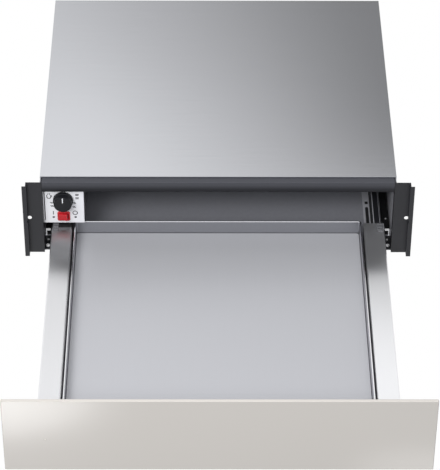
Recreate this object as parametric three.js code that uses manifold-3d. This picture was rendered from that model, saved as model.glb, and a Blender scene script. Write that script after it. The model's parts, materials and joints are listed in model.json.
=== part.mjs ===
// Built-in warming drawer, drawn with its drawer pulled right out.
// Millimetres. +X right, +Y towards the back, +Z up, origin at the centre of the housing's underside.
// Everything that slides is drawn where it lies when the drawer is shut, in a group that is moved forward.

import * as THREE from "three";
import Module from "manifold-3d";
import { mergeVertices } from "three/addons/utils/BufferGeometryUtils.js";

const wasm = await Module();
wasm.setup();

// ---- Driving dimensions -------------------------------------------------------------------------

// Clearances
const slip = 0.3; // between a part and the seat that it slides, turns or is pushed into
const past = 1; // how far a cutting shape runs past what it cuts, and a joined one into its neighbour
const pushGap = 3.5; // the shut front can be pushed in this far to trip the latch

// Housing
const bodyWidth = 540;
const bodyDepth = 490; // from the face of the front bar to the rear wall's back
const bodyHeight = 140;
const bodySheet = 1;
const wallFlange = 12; // turned-in edges of the side walls
const coverSetback = 10; // front bar's face to the top cover's edge
const coverHem = 2.5; // turned-down front edge of the top cover, below its sheet
const ventLength = 34;
const ventHeight = 4;
const ventPitch = 11;
const ventCount = 5;
const ventRise = 60; // lowest slot above the underside
const ventSetback = 40; // slots to the rear wall

// Front bar
const barHeight = 23;
const barSheet = 1.2;
const barRadius = 12; // of its rolled lower edge
const barRoll = 65; // degrees that the edge rolls under
const barTopDepth = 20;

// Fixing brackets, folded forward to a lip beside the drawer front
const bracketSheet = 1.5;
const bracketDrop = 4.5; // its upper edge below the top cover's upper face
const bracketReach = 24.2; // from its inner edge to the fold
const bracketFold = 10;
const bracketLip = 5.3;
const bracketFlange = 14; // leg inside the side wall
const bracketFoot = 36; // front bar's face to the end of its foot, screwed to the housing
const wallSetback = 2.5; // side wall's front edge behind the bracket's plate
const fixingHole = 7;
const fixingHoleInset = 3.7; // from the fold
const fixingHoleRise = 68;
const baseEarSetback = 8; // base plate's front edge behind the brackets
const baseEarWidth = 8;

// Drawer front
const frontOverhang = 27.5; // past each side of the housing
const frontHeight = 130;
const frontRise = 2.5; // above the underside
const glassThickness = 5;
const glassRadius = 1.5;
const backingDepth = 16;
const backingSheet = 1.2;
const backingInset = 2; // from the glass's side edges
const backingDrop = 17; // from the glass's top edge
const backingRise = 6; // from the glass's bottom edge
const indicatorInset = 58; // from the glass's left edge
const indicatorDrop = 72;
const indicatorDiameter = 3;
const bumperDiameter = 6;
const bumperThickness = 2.5;
const bumperInset = 5; // from the backing's side edges
const bumperRise = 70;
const edgeBevel = 0.8; // bevel of small moulded parts

// Drawer body
const profileGap = 13.4; // side wall's inner face to the side profile
const profileWidth = 31.8;
const profileSheet = 1.2;
const profileTop = 46.5;
const profileRise = 9; // its outer wall's lower edge above the underside
const profileRearGap = 33; // shut, to the rear wall's inner face
const trayGap = 3; // between side profile and tray rim
const traySheet = 0.9;
const rimThickness = 2.4;
const rimHeight = 8;
const trayFloor = 21; // top of the tray's bottom sheet
const trayBeyondProfile = 6.2; // how far the tray ends behind the profiles
const trayFrontGap = 2;
const plateThickness = 3;
const plateRadius = 3;
const plateGap = 0.5;
const panRise = 6; // base pan's underside
const panSheet = 1;
const panInset = 1; // base pan's wall inside the tray's
const panHem = 1; // the pan's bottom past its rear wall
const catchLength = 20;
const catchWidth = 8.5;
const catchInset = 2.4; // from the profile's outer edge
const catchThickness = 0.8;
const catchRibs = 3;
const catchRibHeight = 0.8;
const catchRibLength = 2.4;
const frontBracketLength = 58;
const frontBracketSheet = 1.2;
const frontBracketRise = 5; // above the base pan's bottom
const frontBracketDrop = 1; // below the profile's top sheet

// Under the tray
const insulationThickness = 5;
const insulationGap = 1.2;
const elementDiameter = 6;
const elementRuns = 4;
const elementMargin = 6.3; // middle of its outermost bend to the tray's rim
const elementBendRadius = 50;
const thermostatDiameter = 16;
const thermostatFlange = 4.5; // height of its wide part
const thermostatStep = 2;
const junctionLength = 60;
const junctionDepth = 24;
const junctionInset = 60; // junction box to the tray's right wall
const grommetDiameter = 9;
const grommetFlange = 1.6;
const grommetBore = 6;
const grommetLip = 1.2; // flange past the waist

// Runners
const runnerWidth = 12.7;
const runnerHeight = 32;
const runnerRise = 9;
const runnerSheet = 1.2;
const raceGap = 2; // between the edges of the runner's members
const raceSide = 1.9; // between their backs
const tipGap = 0.9; // a member's edges to the next one's back
const runnerFrontGap = 7; // front bar's face to the fixed rail
const runnerRearGap = 32; // fixed rail to the rear wall's inner face
const runnerShort = 8; // how much less than its own length the runner pulls out
const middleInset = 2; // middle rail's front end behind the fixed rail's
const middleShort = 10; // how much shorter than the fixed rail it is
const drawerRailLead = 4; // drawer rail's front end ahead of the fixed rail's
const cageMargin = 10;
const footSetback = 9; // runner bracket's front end behind the front bar's face
const footWidth = 10.5; // its foot, along the base plate
const footSheet = 1.2;
const footHeight = 39;
const footHole = [5, 8]; // square hole, across and along
const footSlot = [5, 60]; // slots, across and along
const footHoleInset = 117; // first hole behind the front bar's face
const footSlotGap = 6;
const footPitch = 140;
const footHoleFromWeb = 4.6;

// Controls
const fasciaWidth = 62.3;
const fasciaLift = 4.8; // its lower edge above the side profiles
const fasciaDrop = 13.7; // from the top cover's underside
const fasciaThickness = 1.5;
const fasciaSetback = 9; // behind the front bar's face
const fasciaSideGap = 1.8; // from the side wall's inner face
const fasciaStrip = 1.7; // strip at its left edge, parted off by a slit
const fasciaSlit = 1.3;
const fasciaTie = 4; // from the slit's ends to the edges
const controlBoxDepth = 50;
const controlBoxSheet = 1.5;
const knobDiameter = 30.5;
const knobGripDiameter = 27.5;
const knobSkirt = 5;
const knobLength = 13.5;
const knobGap = 0.6;
const knobBevel = 1.2;
const knobTaper = 0.6;
const pointerSize = [1.5, 9]; // across and along
const pointerProud = 0.4;
const knobFromSide = 30.9; // knob axis from the fascia's left edge
const knobDrop = 16.3; // knob axis below the front bar
const shaftDiameter = 6;
const bushDiameter = 9;
const bushLength = 1.2;
const shaftLength = 9;
const selectorSize = 26;
const selectorDepth = 22;
const rockerBezel = [19.4, 17];
const rockerBezelThickness = 2.4;
const rockerCutout = [17.4, 15];
const rockerRise = 13.4; // rocker's centre above the fascia's lower edge
const rockerBodyDepth = 18;
const rockerWall = 1.4;
const rockerWellDepth = 9;
const rockerTilt = 7; // each way from level
const rockerPivotDepth = 1; // behind the fascia's face
const rockerProud = 2.6; // its low middle in front of the bezel
const rockerRimProud = 1.4; // its high ends in front of its middle
const rockerBelly = 3; // radius of its round underside
const rockerBellyArc = [30, 150]; // where it starts and ends, in degrees
const rockerFoot = 1; // its sides' lower ends behind the pivot
const rockerFootInset = 1; // and how far they lean in
const rockerPinDiameter = 2;
const rockerPinLength = 0.8;

// Push-to-open latch
const latchWidth = 24;
const latchHeight = 18;
const latchDepth = 18;
const latchRise = 24;
const latchWall = 2.5;
const latchTravel = 4;
const plungerDiameter = 8;
const plungerHead = 12;
const plungerHeadThickness = 2.5;
const plungerStem = 7; // inside the latch
const springDiameter = 6;
const springWire = 0.8;
const springTurns = 5;
const strikerSize = [20, 14];
const strikerLift = 3; // striker's lower edge above the latch's
const strikerGap = 0.8; // shut, to the plunger's head

// Mains terminal box behind the rear wall
const terminalWidth = 90;
const terminalHeight = 50;
const terminalDepth = 23.5;
const terminalSheet = 1.5;
const terminalInset = 50; // from the body's right side
const terminalRise = 30;
const terminalBlock = [44, 20, 14]; // along, high and deep
const terminalBlockInset = [6, 5]; // from the box's right and lower edges
const leadHole = 20;
const glandDiameter = 16;
const glandLength = 12;
const glandNut = 7;
const glandCollar = 12; // across its round collar
const glandBore = 8;
const glandSides = 6;

// Fasteners and tabs beside the drawer
const screwHead = 6.4;
const screwHeadHeight = 2.2;
const headEdge = 0.8; // a head's straight edge, under its dome
const headDome = 0.7; // its flat top, as a share of its width
const screwSetback = 11.5; // behind the front bar's face
const rivetHead = 3.4;
const rivetHeadHeight = 1.4;
const rivetSetback = 26;
const tabSetback = 37;
const tabLength = 4;
const tabHeight = 12;
const tabReach = 7;
const tabSheet = 1.2;

// ---- Derived places -----------------------------------------------------------------------------

const half = bodyWidth / 2;
const faceY = -bodyDepth / 2; // face of the front bar and of the brackets
const backY = bodyDepth / 2;
const wallX = half - bodySheet; // inner face of a side wall
const rearInner = backY - bodySheet;
const topInner = bodyHeight - bodySheet;
const coverY = faceY + coverSetback;
const wallFrontY = faceY + bracketSheet + wallSetback;
const barTop = topInner - coverHem;
const barBottom = barTop - barHeight;
const bracketX = wallX - bracketSheet;
const bracketHeight = bodyHeight - bracketDrop;
const lipY = faceY - bracketFold;
const bracketFootLow = bodySheet * 2 + slip; // clear of the side wall's foot
const bracketFootTop = bracketFootLow + bracketSheet;

const backingRearY = lipY - pushGap;
const glassRearY = backingRearY - backingDepth;
const glassFrontY = glassRearY - glassThickness;
const frontTop = frontRise + frontHeight;
const frontWidth = bodyWidth + frontOverhang * 2;

const profileOuterX = wallX - profileGap;
const profileInnerX = profileOuterX - profileWidth;
const profileRearY = rearInner - profileRearGap;
const rimX = profileInnerX - trayGap;
const trayFrontY = backingRearY + trayFrontGap;
const trayRearY = profileRearY + trayBeyondProfile;
const panTop = trayFloor - traySheet;
const panX = rimX - panInset;
const insideTop = panRise + panSheet + insulationThickness;
const elementRunLength = (rimX - elementMargin - elementBendRadius) * 2;

const railX = profileOuterX - profileSheet - runnerWidth; // back of the fixed rail
const railFrontY = faceY + runnerFrontGap;
const railRearY = rearInner - runnerRearGap;
const railLength = railRearY - railFrontY;
const travel = railLength - runnerShort; // how far the drawer pulls out
const middleFrontY = railFrontY + middleInset;
const middleRearY = middleFrontY + railLength - middleShort;
const drawerRailFrontY = railFrontY - drawerRailLead;
const drawerRailRearY = drawerRailFrontY + railLength;

const fasciaX = -wallX + fasciaSideGap;
const fasciaTop = topInner - fasciaDrop;
const fasciaLow = profileTop + fasciaLift;
const fasciaY = faceY + fasciaSetback;
const fasciaBackY = fasciaY + fasciaThickness;
const knobX = fasciaX + knobFromSide;
const knobZ = barBottom - knobDrop;
const rockerZ = fasciaLow + rockerRise;
const rockerPivotY = fasciaY + rockerPivotDepth;

const latchRearY = rearInner;
const latchFrontY = latchRearY - latchDepth;
const latchZ = latchRise + latchHeight / 2;
const plungerFrontY = latchFrontY - slip - latchTravel - plungerHeadThickness;

// ---- Materials ----------------------------------------------------------------------------------

const finish = (color, roughness, metalness) => ({ color, roughness, metalness });
const finishes = {
  brushedSteel: finish(0xc9cacf, 0.35, 0.9),
  galvanised: finish(0x9a9ba0, 0.5, 0.8),
  darkPaint: finish(0x3d3e43, 0.55, 0.3),
  polishedSteel: finish(0xd8d9dd, 0.15, 1),
  runnerSteel: finish(0xa9aab0, 0.35, 0.9),
  greigeGlass: finish(0xcbc6c0, 0.08, 0),
  satinPlate: finish(0xb0b1b6, 0.4, 0.1),
  whitePlastic: finish(0xe6e6ec, 0.45, 0),
  blackPlastic: finish(0x1f2023, 0.4, 0),
  redPlastic: finish(0xc3202a, 0.3, 0),
  greyPlastic: finish(0x6c6d72, 0.5, 0),
  rubber: finish(0x2a2b2e, 0.8, 0),
  insulation: finish(0xe4dfd2, 0.95, 0),
  heater: finish(0x55524e, 0.5, 0.6),
  brassParts: finish(0xb79a55, 0.35, 0.9),
  lightLens: finish(0xf7f4ee, 0.2, 0),
};

// ---- Shape helpers ------------------------------------------------------------------------------

// Sets each corner of a unit box to the very numbers given, so that faces meant to touch do.
function block(x0, x1, y0, y1, z0, z1) {
  const geometry = new THREE.BoxGeometry(1, 1, 1);
  const at = geometry.attributes.position;
  const [xs, ys, zs] = [[x0, x1], [y0, y1], [z0, z1]].map((pair) => pair.sort((a, b) => a - b));
  for (let i = 0; i < at.count; i += 1) {
    const pick = (value, pair) => (value < 0 ? pair[0] : pair[1]);
    at.setXYZ(i, pick(at.getX(i), xs), pick(at.getY(i), ys), pick(at.getZ(i), zs));
  }
  return geometry;
}

// An outline carried along an axis from start to end. For "x" its points are (y, z), for "y" (x, z)
// and for "z" (x, y). The outline is turned anticlockwise and its holes clockwise.
function prism(outline, axis, start, end, holes = []) {
  const [low, high] = [Math.min(start, end), Math.max(start, end)];
  const path = (points, clockwise) => {
    const flat = points.map(([u, v]) => new THREE.Vector2(axis === "y" ? -u : u, v));
    return THREE.ShapeUtils.isClockWise(flat) === clockwise ? flat : flat.reverse();
  };
  const shape = new THREE.Shape(path(outline, false));
  shape.holes = holes.map((hole) => new THREE.Path(path(hole, true)));
  const geometry = new THREE.ExtrudeGeometry(shape, { depth: 1, bevelEnabled: false });
  const at = geometry.attributes.position;
  for (let i = 0; i < at.count; i += 1) {
    const [u, v] = [at.getX(i), at.getY(i)];
    const along = at.getZ(i) < 0.5 ? low : high;
    if (axis === "x") at.setXYZ(i, along, u, v);
    else if (axis === "y") at.setXYZ(i, -u, along, v);
    else at.setXYZ(i, u, v, along);
  }
  return geometry;
}

const rectangle = (u0, u1, v0, v1) => [[u0, v0], [u1, v0], [u1, v1], [u0, v1]];
const mirrored = (outline, side) => outline.map(([u, v]) => [side * u, v]);

// Points along an arc, with both of its ends.
function arc(u, v, radius, from, to, steps) {
  const points = [];
  for (let i = 0; i <= steps; i += 1) {
    const turn = THREE.MathUtils.degToRad(from + ((to - from) * i) / steps);
    points.push([u + radius * Math.cos(turn), v + radius * Math.sin(turn)]);
  }
  return points;
}

const circle = (u, v, diameter, steps = 24) => arc(u, v, diameter / 2, 0, 360, steps).slice(0, -1);

// A slot with round ends, its length along u or along v.
function slot(u, v, length, width, alongV = false) {
  const reach = (length - width) / 2;
  const ends = [...arc(reach, 0, width / 2, -90, 90, 4), ...arc(-reach, 0, width / 2, 90, 270, 4)];
  return ends.map(([a, b]) => (alongV ? [u - b, v + a] : [u + a, v + b]));
}

function roundedRectangle(u0, u1, v0, v1, radius, steps = 3) {
  return [
    ...arc(u1 - radius, v0 + radius, radius, -90, 0, steps),
    ...arc(u1 - radius, v1 - radius, radius, 0, 90, steps),
    ...arc(u0 + radius, v1 - radius, radius, 90, 180, steps),
    ...arc(u0 + radius, v0 + radius, radius, 180, 270, steps),
  ];
}

// A turned piece: its outline is (radius, distance along the axis), closed on itself or on the axis.
function turned(outline, axis, centre, segments = 28) {
  const points = outline.map(([radius, along]) => new THREE.Vector2(radius, along));
  const geometry = new THREE.LatheGeometry(points, segments);
  if (axis === "z") geometry.rotateX(Math.PI / 2);
  if (axis === "x") geometry.rotateZ(-Math.PI / 2);
  geometry.translate(...centre);
  return geometry;
}

function solid(geometry) {
  const bare = geometry.index ? geometry.toNonIndexed() : geometry.clone();
  bare.deleteAttribute("normal");
  bare.deleteAttribute("uv");
  const merged = mergeVertices(bare, 1e-5);
  return new wasm.Manifold(new wasm.Mesh({
    numProp: 3,
    vertProperties: new Float32Array(merged.attributes.position.array),
    triVerts: new Uint32Array(merged.index.array),
  }));
}

function surface(manifold) {
  const mesh = manifold.getMesh();
  const geometry = new THREE.BufferGeometry();
  geometry.setAttribute("position", new THREE.BufferAttribute(new Float32Array(mesh.vertProperties), 3));
  geometry.setIndex(new THREE.BufferAttribute(new Uint32Array(mesh.triVerts), 1));
  geometry.computeVertexNormals();
  return geometry;
}

function joined(first, ...others) {
  return surface(others.reduce((whole, other) => whole.add(solid(other)), solid(first)));
}

function cut(blank, ...tools) {
  return surface(tools.reduce((whole, tool) => whole.subtract(solid(tool)), solid(blank)));
}

// ---- The assembly -------------------------------------------------------------------------------

const warmingDrawer = new THREE.Group();
const drawer = new THREE.Group();
const middleRails = new THREE.Group();
const outerCages = new THREE.Group();
const innerCages = new THREE.Group();
drawer.position.y = -travel;
middleRails.position.y = -travel / 2;
outerCages.position.y = -travel / 4;
innerCages.position.y = (-travel * 3) / 4;
warmingDrawer.add(drawer, middleRails, outerCages, innerCages);

function add(parent, name, geometry, look) {
  const mesh = new THREE.Mesh(geometry, new THREE.MeshStandardMaterial(finishes[look]));
  mesh.name = name;
  parent.add(mesh);
  return mesh;
}

const sides = [["left", -1], ["right", 1]];

// ---- Housing ------------------------------------------------------------------------------------

function basePlate() {
  const frontY = faceY + baseEarSetback;
  const earX = half - baseEarWidth;
  const outline = [
    [-half, wallFrontY], [-half + bodySheet, wallFrontY], [-earX, frontY],
    [earX, frontY], [half - bodySheet, wallFrontY], [half, wallFrontY],
    [half, backY], [-half, backY],
  ];
  return prism(outline, "z", 0, bodySheet);
}

// A channel with both edges turned in, cut back under the front bar, with slots near its rear.
function sideWall(side) {
  const web = prism(
    [[wallFrontY, bodySheet], [rearInner, bodySheet], [rearInner, topInner],
      [coverY + bodySheet, topInner], [coverY + bodySheet, bracketHeight], [wallFrontY, bracketHeight]],
    "x", side * wallX, side * half,
    Array.from({ length: ventCount }, (_, i) => slot(
      rearInner - ventSetback - ventLength / 2, ventRise + i * ventPitch, ventLength, ventHeight)),
  );
  const flange = (z0, z1, y0) => block(side * (wallX - wallFlange), side * half, y0, rearInner, z0, z1);
  return joined(web, flange(bodySheet, bodySheet * 2, wallFrontY),
    flange(topInner - bodySheet, topInner, faceY + barTopDepth));
}

function topCover() {
  const hem = block(-half, half, coverY, coverY + bodySheet, barTop, topInner + bodySheet / 2);
  return joined(block(-half, half, coverY, backY, topInner, bodyHeight), hem);
}

// A channel open to the rear, with its lower front edge rolled.
function frontBar() {
  const [top, bottom] = [barTop, barBottom];
  const rollZ = bottom + barRadius * Math.sin(THREE.MathUtils.degToRad(barRoll));
  const outline = [
    [faceY, top],
    ...arc(faceY + barRadius, rollZ, barRadius, 180, 180 + barRoll, 8),
    ...arc(faceY + barRadius, rollZ, barRadius - barSheet, 180 + barRoll, 180, 8),
    [faceY + barSheet, top - barSheet], [faceY + barTopDepth, top - barSheet], [faceY + barTopDepth, top],
  ];
  return prism(outline, "x", -bracketX + slip, bracketX - slip);
}

// A folded strip: leg inside the side wall, plate across the cabinet's edge, fold and lip. A foot at the
// bottom of the leg lies over the side wall's turned-in foot.
function fixingBracket(side) {
  const foldX = bracketX + bracketReach;
  const outline = mirrored([
    [bracketX, faceY], [foldX - bracketSheet, faceY], [foldX - bracketSheet, lipY],
    [foldX + bracketLip, lipY], [foldX + bracketLip, lipY + bracketSheet],
    [foldX, lipY + bracketSheet], [foldX, faceY + bracketSheet], [wallX, faceY + bracketSheet],
    [wallX, faceY + bracketFlange], [bracketX, faceY + bracketFlange],
  ], side);
  const strip = prism(outline, "z", 0, bracketHeight);
  const holeX = side * (foldX - fixingHoleInset);
  const drill = prism(circle(holeX, fixingHoleRise, fixingHole), "y",
    lipY - past, faceY + bracketSheet + past);
  // The leg clears the side wall's turned-in foot and the ear of the base plate.
  const relief = block(side * (bracketX - past), side * (wallX + slip),
    faceY + bracketSheet, faceY + bracketFlange + past, -past, bracketFootLow);
  const foot = block(side * (wallX - wallFlange), side * wallX, wallFrontY, faceY + bracketFoot,
    bracketFootLow, bracketFootTop);
  return joined(cut(strip, drill, relief), foot);
}

function rearWall() {
  const lead = circle(half - terminalInset - terminalWidth / 2, terminalRise + terminalHeight / 2, leadHole);
  return prism(rectangle(-half, half, bodySheet, topInner), "y", rearInner, backY, [lead]);
}

// ---- Runners ------------------------------------------------------------------------------------

// A channel section in (x, z), its back towards the middle of the drawer or, if turned, away from it.
function channel(side, backAt, tipAt, inset, sheet, flangeSheet = sheet) {
  const [low, high] = [runnerRise + inset, runnerRise + runnerHeight - inset];
  const inward = Math.sign(tipAt - backAt);
  const [back, tip, inner] = [railX + backAt, railX + tipAt, railX + backAt + inward * sheet];
  return mirrored([
    [back, low], [tip, low], [tip, low + flangeSheet], [inner, low + flangeSheet],
    [inner, high - flangeSheet], [tip, high - flangeSheet], [tip, high], [back, high],
  ], side);
}

const middleBack = runnerSheet + raceSide;
const middleInsetZ = runnerSheet + raceGap;
const drawerInsetZ = middleInsetZ + runnerSheet + raceGap;

function runnerBracket(side) {
  const frontY = faceY + footSetback;
  const holeX = side * (railX - footSheet - footHoleFromWeb);
  const holes = [];
  const last = railRearY - footSlot[1];
  for (let y = faceY + footHoleInset; y < last; y += footPitch) {
    const [w, l] = footHole;
    holes.push(rectangle(holeX - w / 2, holeX + w / 2, y, y + l));
    holes.push(slot(holeX, y - footSlotGap - footSlot[1] / 2, footSlot[1], footSlot[0], true));
  }
  const foot = prism(
    rectangle(side * (railX - footSheet - footWidth), side * railX, frontY, railRearY),
    "z", bodySheet, bodySheet + footSheet, holes);
  const web = block(side * (railX - footSheet), side * railX, frontY, railRearY, bodySheet, footHeight);
  return joined(foot, web);
}

function fixedRail(side) {
  const tip = runnerWidth - runnerSheet - raceGap;
  return prism(channel(side, 0, tip, 0, runnerSheet), "y", railFrontY, railRearY);
}

function middleRail(side) {
  const tip = runnerWidth - runnerSheet - tipGap;
  return prism(channel(side, middleBack, tip, middleInsetZ, runnerSheet), "y", middleFrontY, middleRearY);
}

function drawerRail(side) {
  const tip = middleBack + runnerSheet + raceSide;
  const outline = channel(side, runnerWidth, tip, drawerInsetZ, runnerSheet);
  return prism(outline, "y", drawerRailFrontY, drawerRailRearY);
}

// The strip that keeps the balls apart, between two members. It lies where both members are, shut or open.
function cage(side, back, tip, inset, frontY, rearY) {
  const [sheet, flangeSheet] = [raceSide - slip * 2, raceGap - slip * 2];
  const outline = channel(side, back + slip, tip, inset + slip, sheet, flangeSheet);
  return prism(outline, "y", frontY, rearY);
}

function outerCage(side) {
  // Open, the middle rail's rear end and the fixed rail's front end bound the balls' stretch.
  const frontY = railFrontY + cageMargin + travel / 4;
  const rearY = middleRearY - travel / 2 - cageMargin + travel / 4;
  return cage(side, runnerSheet, runnerWidth - runnerSheet - raceGap - slip, runnerSheet, frontY, rearY);
}

function innerCage(side) {
  const frontY = middleFrontY - travel / 2 + cageMargin + (travel * 3) / 4;
  const rearY = drawerRailRearY - travel - cageMargin + (travel * 3) / 4;
  const tip = runnerWidth - runnerSheet - tipGap - slip;
  return cage(side, middleBack + runnerSheet, tip, middleInsetZ + runnerSheet, frontY, rearY);
}

// ---- Drawer -------------------------------------------------------------------------------------

function frontGlass() {
  const w = frontWidth / 2;
  const lamp = circle(-w + indicatorInset, frontTop - indicatorDrop, indicatorDiameter + slip * 2, 16);
  const outline = roundedRectangle(-w, w, frontRise, frontTop, glassRadius);
  return prism(outline, "y", glassFrontY, glassRearY, [lamp]);
}

function backingPan() {
  const w = frontWidth / 2 - backingInset;
  const [low, high] = [frontRise + backingRise, frontTop - backingDrop];
  const shell = block(-w, w, glassRearY, backingRearY, low, high);
  const t = backingSheet;
  return cut(shell, block(-w + t, w - t, glassRearY - past, backingRearY - t, low + t, high - t));
}

function indicator() {
  const at = [-frontWidth / 2 + indicatorInset, glassFrontY, frontTop - indicatorDrop];
  const r = indicatorDiameter / 2;
  return turned([[0, 0], [r, 0], [r, glassThickness], [0, glassThickness]], "y", at, 16);
}

function bumper(side) {
  const x = side * (frontWidth / 2 - backingInset - bumperInset);
  const r = bumperDiameter / 2;
  const outline = [[0, 0], [r, 0], [r, bumperThickness - edgeBevel], [r - edgeBevel, bumperThickness],
    [0, bumperThickness]];
  return turned(outline, "y", [x, backingRearY, frontRise + bumperRise], 16);
}

function sideProfile(side) {
  const t = profileSheet;
  const outline = mirrored([
    [profileInnerX, panRise + panSheet], [profileInnerX, profileTop], [profileOuterX, profileTop],
    [profileOuterX, profileRise], [profileOuterX - t, profileRise], [profileOuterX - t, profileTop - t],
    [profileInnerX + t, profileTop - t], [profileInnerX + t, panRise + panSheet],
  ], side);
  return prism(outline, "y", backingRearY, profileRearY);
}

// A plug on the profile's rear outer corner, ribbed across.
function profileCatch(side) {
  const x0 = side * (profileOuterX - catchInset - catchWidth);
  const x1 = side * (profileOuterX - catchInset);
  const top = profileTop + catchThickness;
  const rib = (i) => {
    const y = profileRearY - catchLength * ((i + 0.5) / catchRibs) - catchRibLength / 2;
    return block(x0, x1, y, y + catchRibLength, profileTop, top + catchRibHeight);
  };
  const pad = block(x0, x1, profileRearY - catchLength, profileRearY, profileTop, top);
  return joined(pad, ...Array.from({ length: catchRibs }, (_, i) => rib(i)));
}

function frontBracket(side) {
  const inner = profileInnerX + profileSheet;
  const [low, high] = [panRise + panSheet + frontBracketRise,
    profileTop - profileSheet - frontBracketDrop];
  const plate = block(side * inner, side * (profileOuterX - profileSheet - slip), backingRearY,
    backingRearY + frontBracketSheet, low, high);
  const leg = block(side * inner, side * (inner + frontBracketSheet), backingRearY,
    backingRearY + frontBracketLength, low, high);
  return joined(plate, leg);
}

function tray() {
  const rim = block(-rimX, rimX, trayFrontY, trayRearY, profileTop - rimHeight, profileTop);
  const over = rimThickness - traySheet;
  const pan = block(-rimX + over, rimX - over, trayFrontY + over, trayRearY - over, panTop,
    profileTop - rimHeight / 2);
  const hollow = block(-rimX + rimThickness, rimX - rimThickness, trayFrontY + rimThickness,
    trayRearY - rimThickness, trayFloor, profileTop + past);
  return surface(solid(rim).add(solid(pan)).subtract(solid(hollow)));
}

function floorPlate() {
  const inset = rimThickness + plateGap;
  const outline = roundedRectangle(-rimX + inset, rimX - inset, trayFrontY + inset, trayRearY - inset,
    plateRadius);
  return prism(outline, "z", trayFloor, trayFloor + plateThickness);
}

// The pan under the tray: a bottom that reaches under the side profiles, and four walls that carry the tray.
function basePan() {
  const [y0, y1] = [trayFrontY + panInset, trayRearY - panInset - rimThickness];
  const bottom = block(-profileInnerX - profileSheet, profileInnerX + profileSheet,
    backingRearY, y1 + panHem, panRise, panRise + panSheet);
  const walls = block(-panX, panX, y0, y1, panRise, panTop);
  const hollow = block(-panX + panSheet, panX - panSheet, y0 + panSheet, y1 - panSheet,
    panRise + panSheet, panTop + past);
  const lead = prism(circle(leadX, leadZ, grommetDiameter + slip * 2), "y", y1 - panSheet - past, y1 + past);
  return surface(solid(bottom).add(solid(walls)).subtract(solid(hollow)).subtract(solid(lead)));
}

const panRearY = trayRearY - panInset - rimThickness;
const panMidZ = (panRise + panSheet + panTop) / 2;
const leadX = rimX - junctionInset - junctionLength / 2;
const leadZ = panMidZ;

// It ends in front of the grommet's inner flange.
function insulationBoard() {
  const gap = panSheet + insulationGap;
  const x = panX - gap;
  const rearY = panRearY - panSheet - slip * 2 - grommetFlange;
  return block(-x, x, trayFrontY + panInset + gap, rearY, panRise + panSheet, insideTop);
}

// Straight runs joined by half-round bends, all at one height.
class Meander extends THREE.Curve {
  constructor(runs, runLength, radius, startY, height) {
    super();
    Object.assign(this, { runs, runLength, radius, startY, height });
    this.bend = Math.PI * radius;
    this.total = runs * runLength + (runs - 1) * this.bend;
  }

  getPoint(t, target = new THREE.Vector3()) {
    const { runLength, radius, bend } = this;
    const along = t * this.total;
    const run = Math.min(Math.floor(along / (runLength + bend)), this.runs - 1);
    const rest = along - run * (runLength + bend);
    const way = run % 2 ? -1 : 1;
    const y = this.startY + run * radius * 2;
    if (rest <= runLength) return target.set(way * (rest - runLength / 2), y, this.height);
    const turn = (rest - runLength) / radius;
    const x = way * (runLength / 2 + radius * Math.sin(turn));
    return target.set(x, y + radius * (1 - Math.cos(turn)), this.height);
  }
}

function round(diameter, steps) {
  return new THREE.Shape(circle(0, 0, diameter, steps).map(([u, v]) => new THREE.Vector2(u, v)));
}

function heatingElement() {
  const startY = (trayFrontY + trayRearY) / 2 - elementBendRadius * (elementRuns - 1);
  const height = panTop - slip - elementDiameter / 2;
  const path = new Meander(elementRuns, elementRunLength, elementBendRadius, startY, height);
  return new THREE.ExtrudeGeometry(round(elementDiameter, 8), { steps: 84, extrudePath: path });
}

function thermostat() {
  const [r, low] = [thermostatDiameter / 2, insideTop + slip];
  const height = panTop - slip - low;
  const outline = [[0, 0], [r, 0], [r, thermostatFlange], [r - thermostatStep, height], [0, height]];
  return turned(outline, "z", [0, (trayFrontY + trayRearY) / 2, low], 24);
}

function junctionBox() {
  const rear = panRearY - panSheet - grommetFlange - slip * 2;
  return block(leadX - junctionLength / 2, leadX + junctionLength / 2, rear - junctionDepth, rear,
    insideTop, panTop - slip);
}

// A spool through the pan's rear wall, bored for the lead.
function leadGrommet() {
  const [waist, bore, rim] = [grommetDiameter / 2, grommetBore / 2, grommetDiameter / 2 + grommetLip];
  const [inner, outer] = [-panSheet - slip, slip];
  const outline = [
    [bore, inner - grommetFlange], [rim, inner - grommetFlange], [rim, inner], [waist, inner],
    [waist, outer], [rim, outer], [rim, outer + grommetFlange], [bore, outer + grommetFlange],
    [bore, inner - grommetFlange],
  ];
  return turned(outline, "y", [leadX, panRearY, leadZ], 24);
}

// ---- Controls -----------------------------------------------------------------------------------

function controlFascia() {
  const slitX = fasciaX + fasciaStrip;
  const holes = [
    rectangle(slitX, slitX + fasciaSlit, fasciaLow + fasciaTie, fasciaTop - fasciaTie),
    circle(knobX, knobZ, bushDiameter + slip * 2, 20),
    rectangle(knobX - rockerCutout[0] / 2 - slip, knobX + rockerCutout[0] / 2 + slip,
      rockerZ - rockerCutout[1] / 2 - slip, rockerZ + rockerCutout[1] / 2 + slip),
  ];
  const outline = rectangle(fasciaX, fasciaX + fasciaWidth, fasciaLow, fasciaTop);
  return prism(outline, "y", fasciaY, fasciaBackY, holes);
}

function controlBox() {
  const [x0, x1, z0, z1] = [fasciaX, fasciaX + fasciaWidth, fasciaLow, fasciaTop];
  const shell = block(x0, x1, fasciaBackY, fasciaBackY + controlBoxDepth, z0, z1);
  const t = controlBoxSheet;
  const hollow = block(x0 + t, x1 - t, fasciaBackY - past, fasciaBackY + controlBoxDepth - t, z0 + t, z1 - t);
  return cut(shell, hollow);
}

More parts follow.
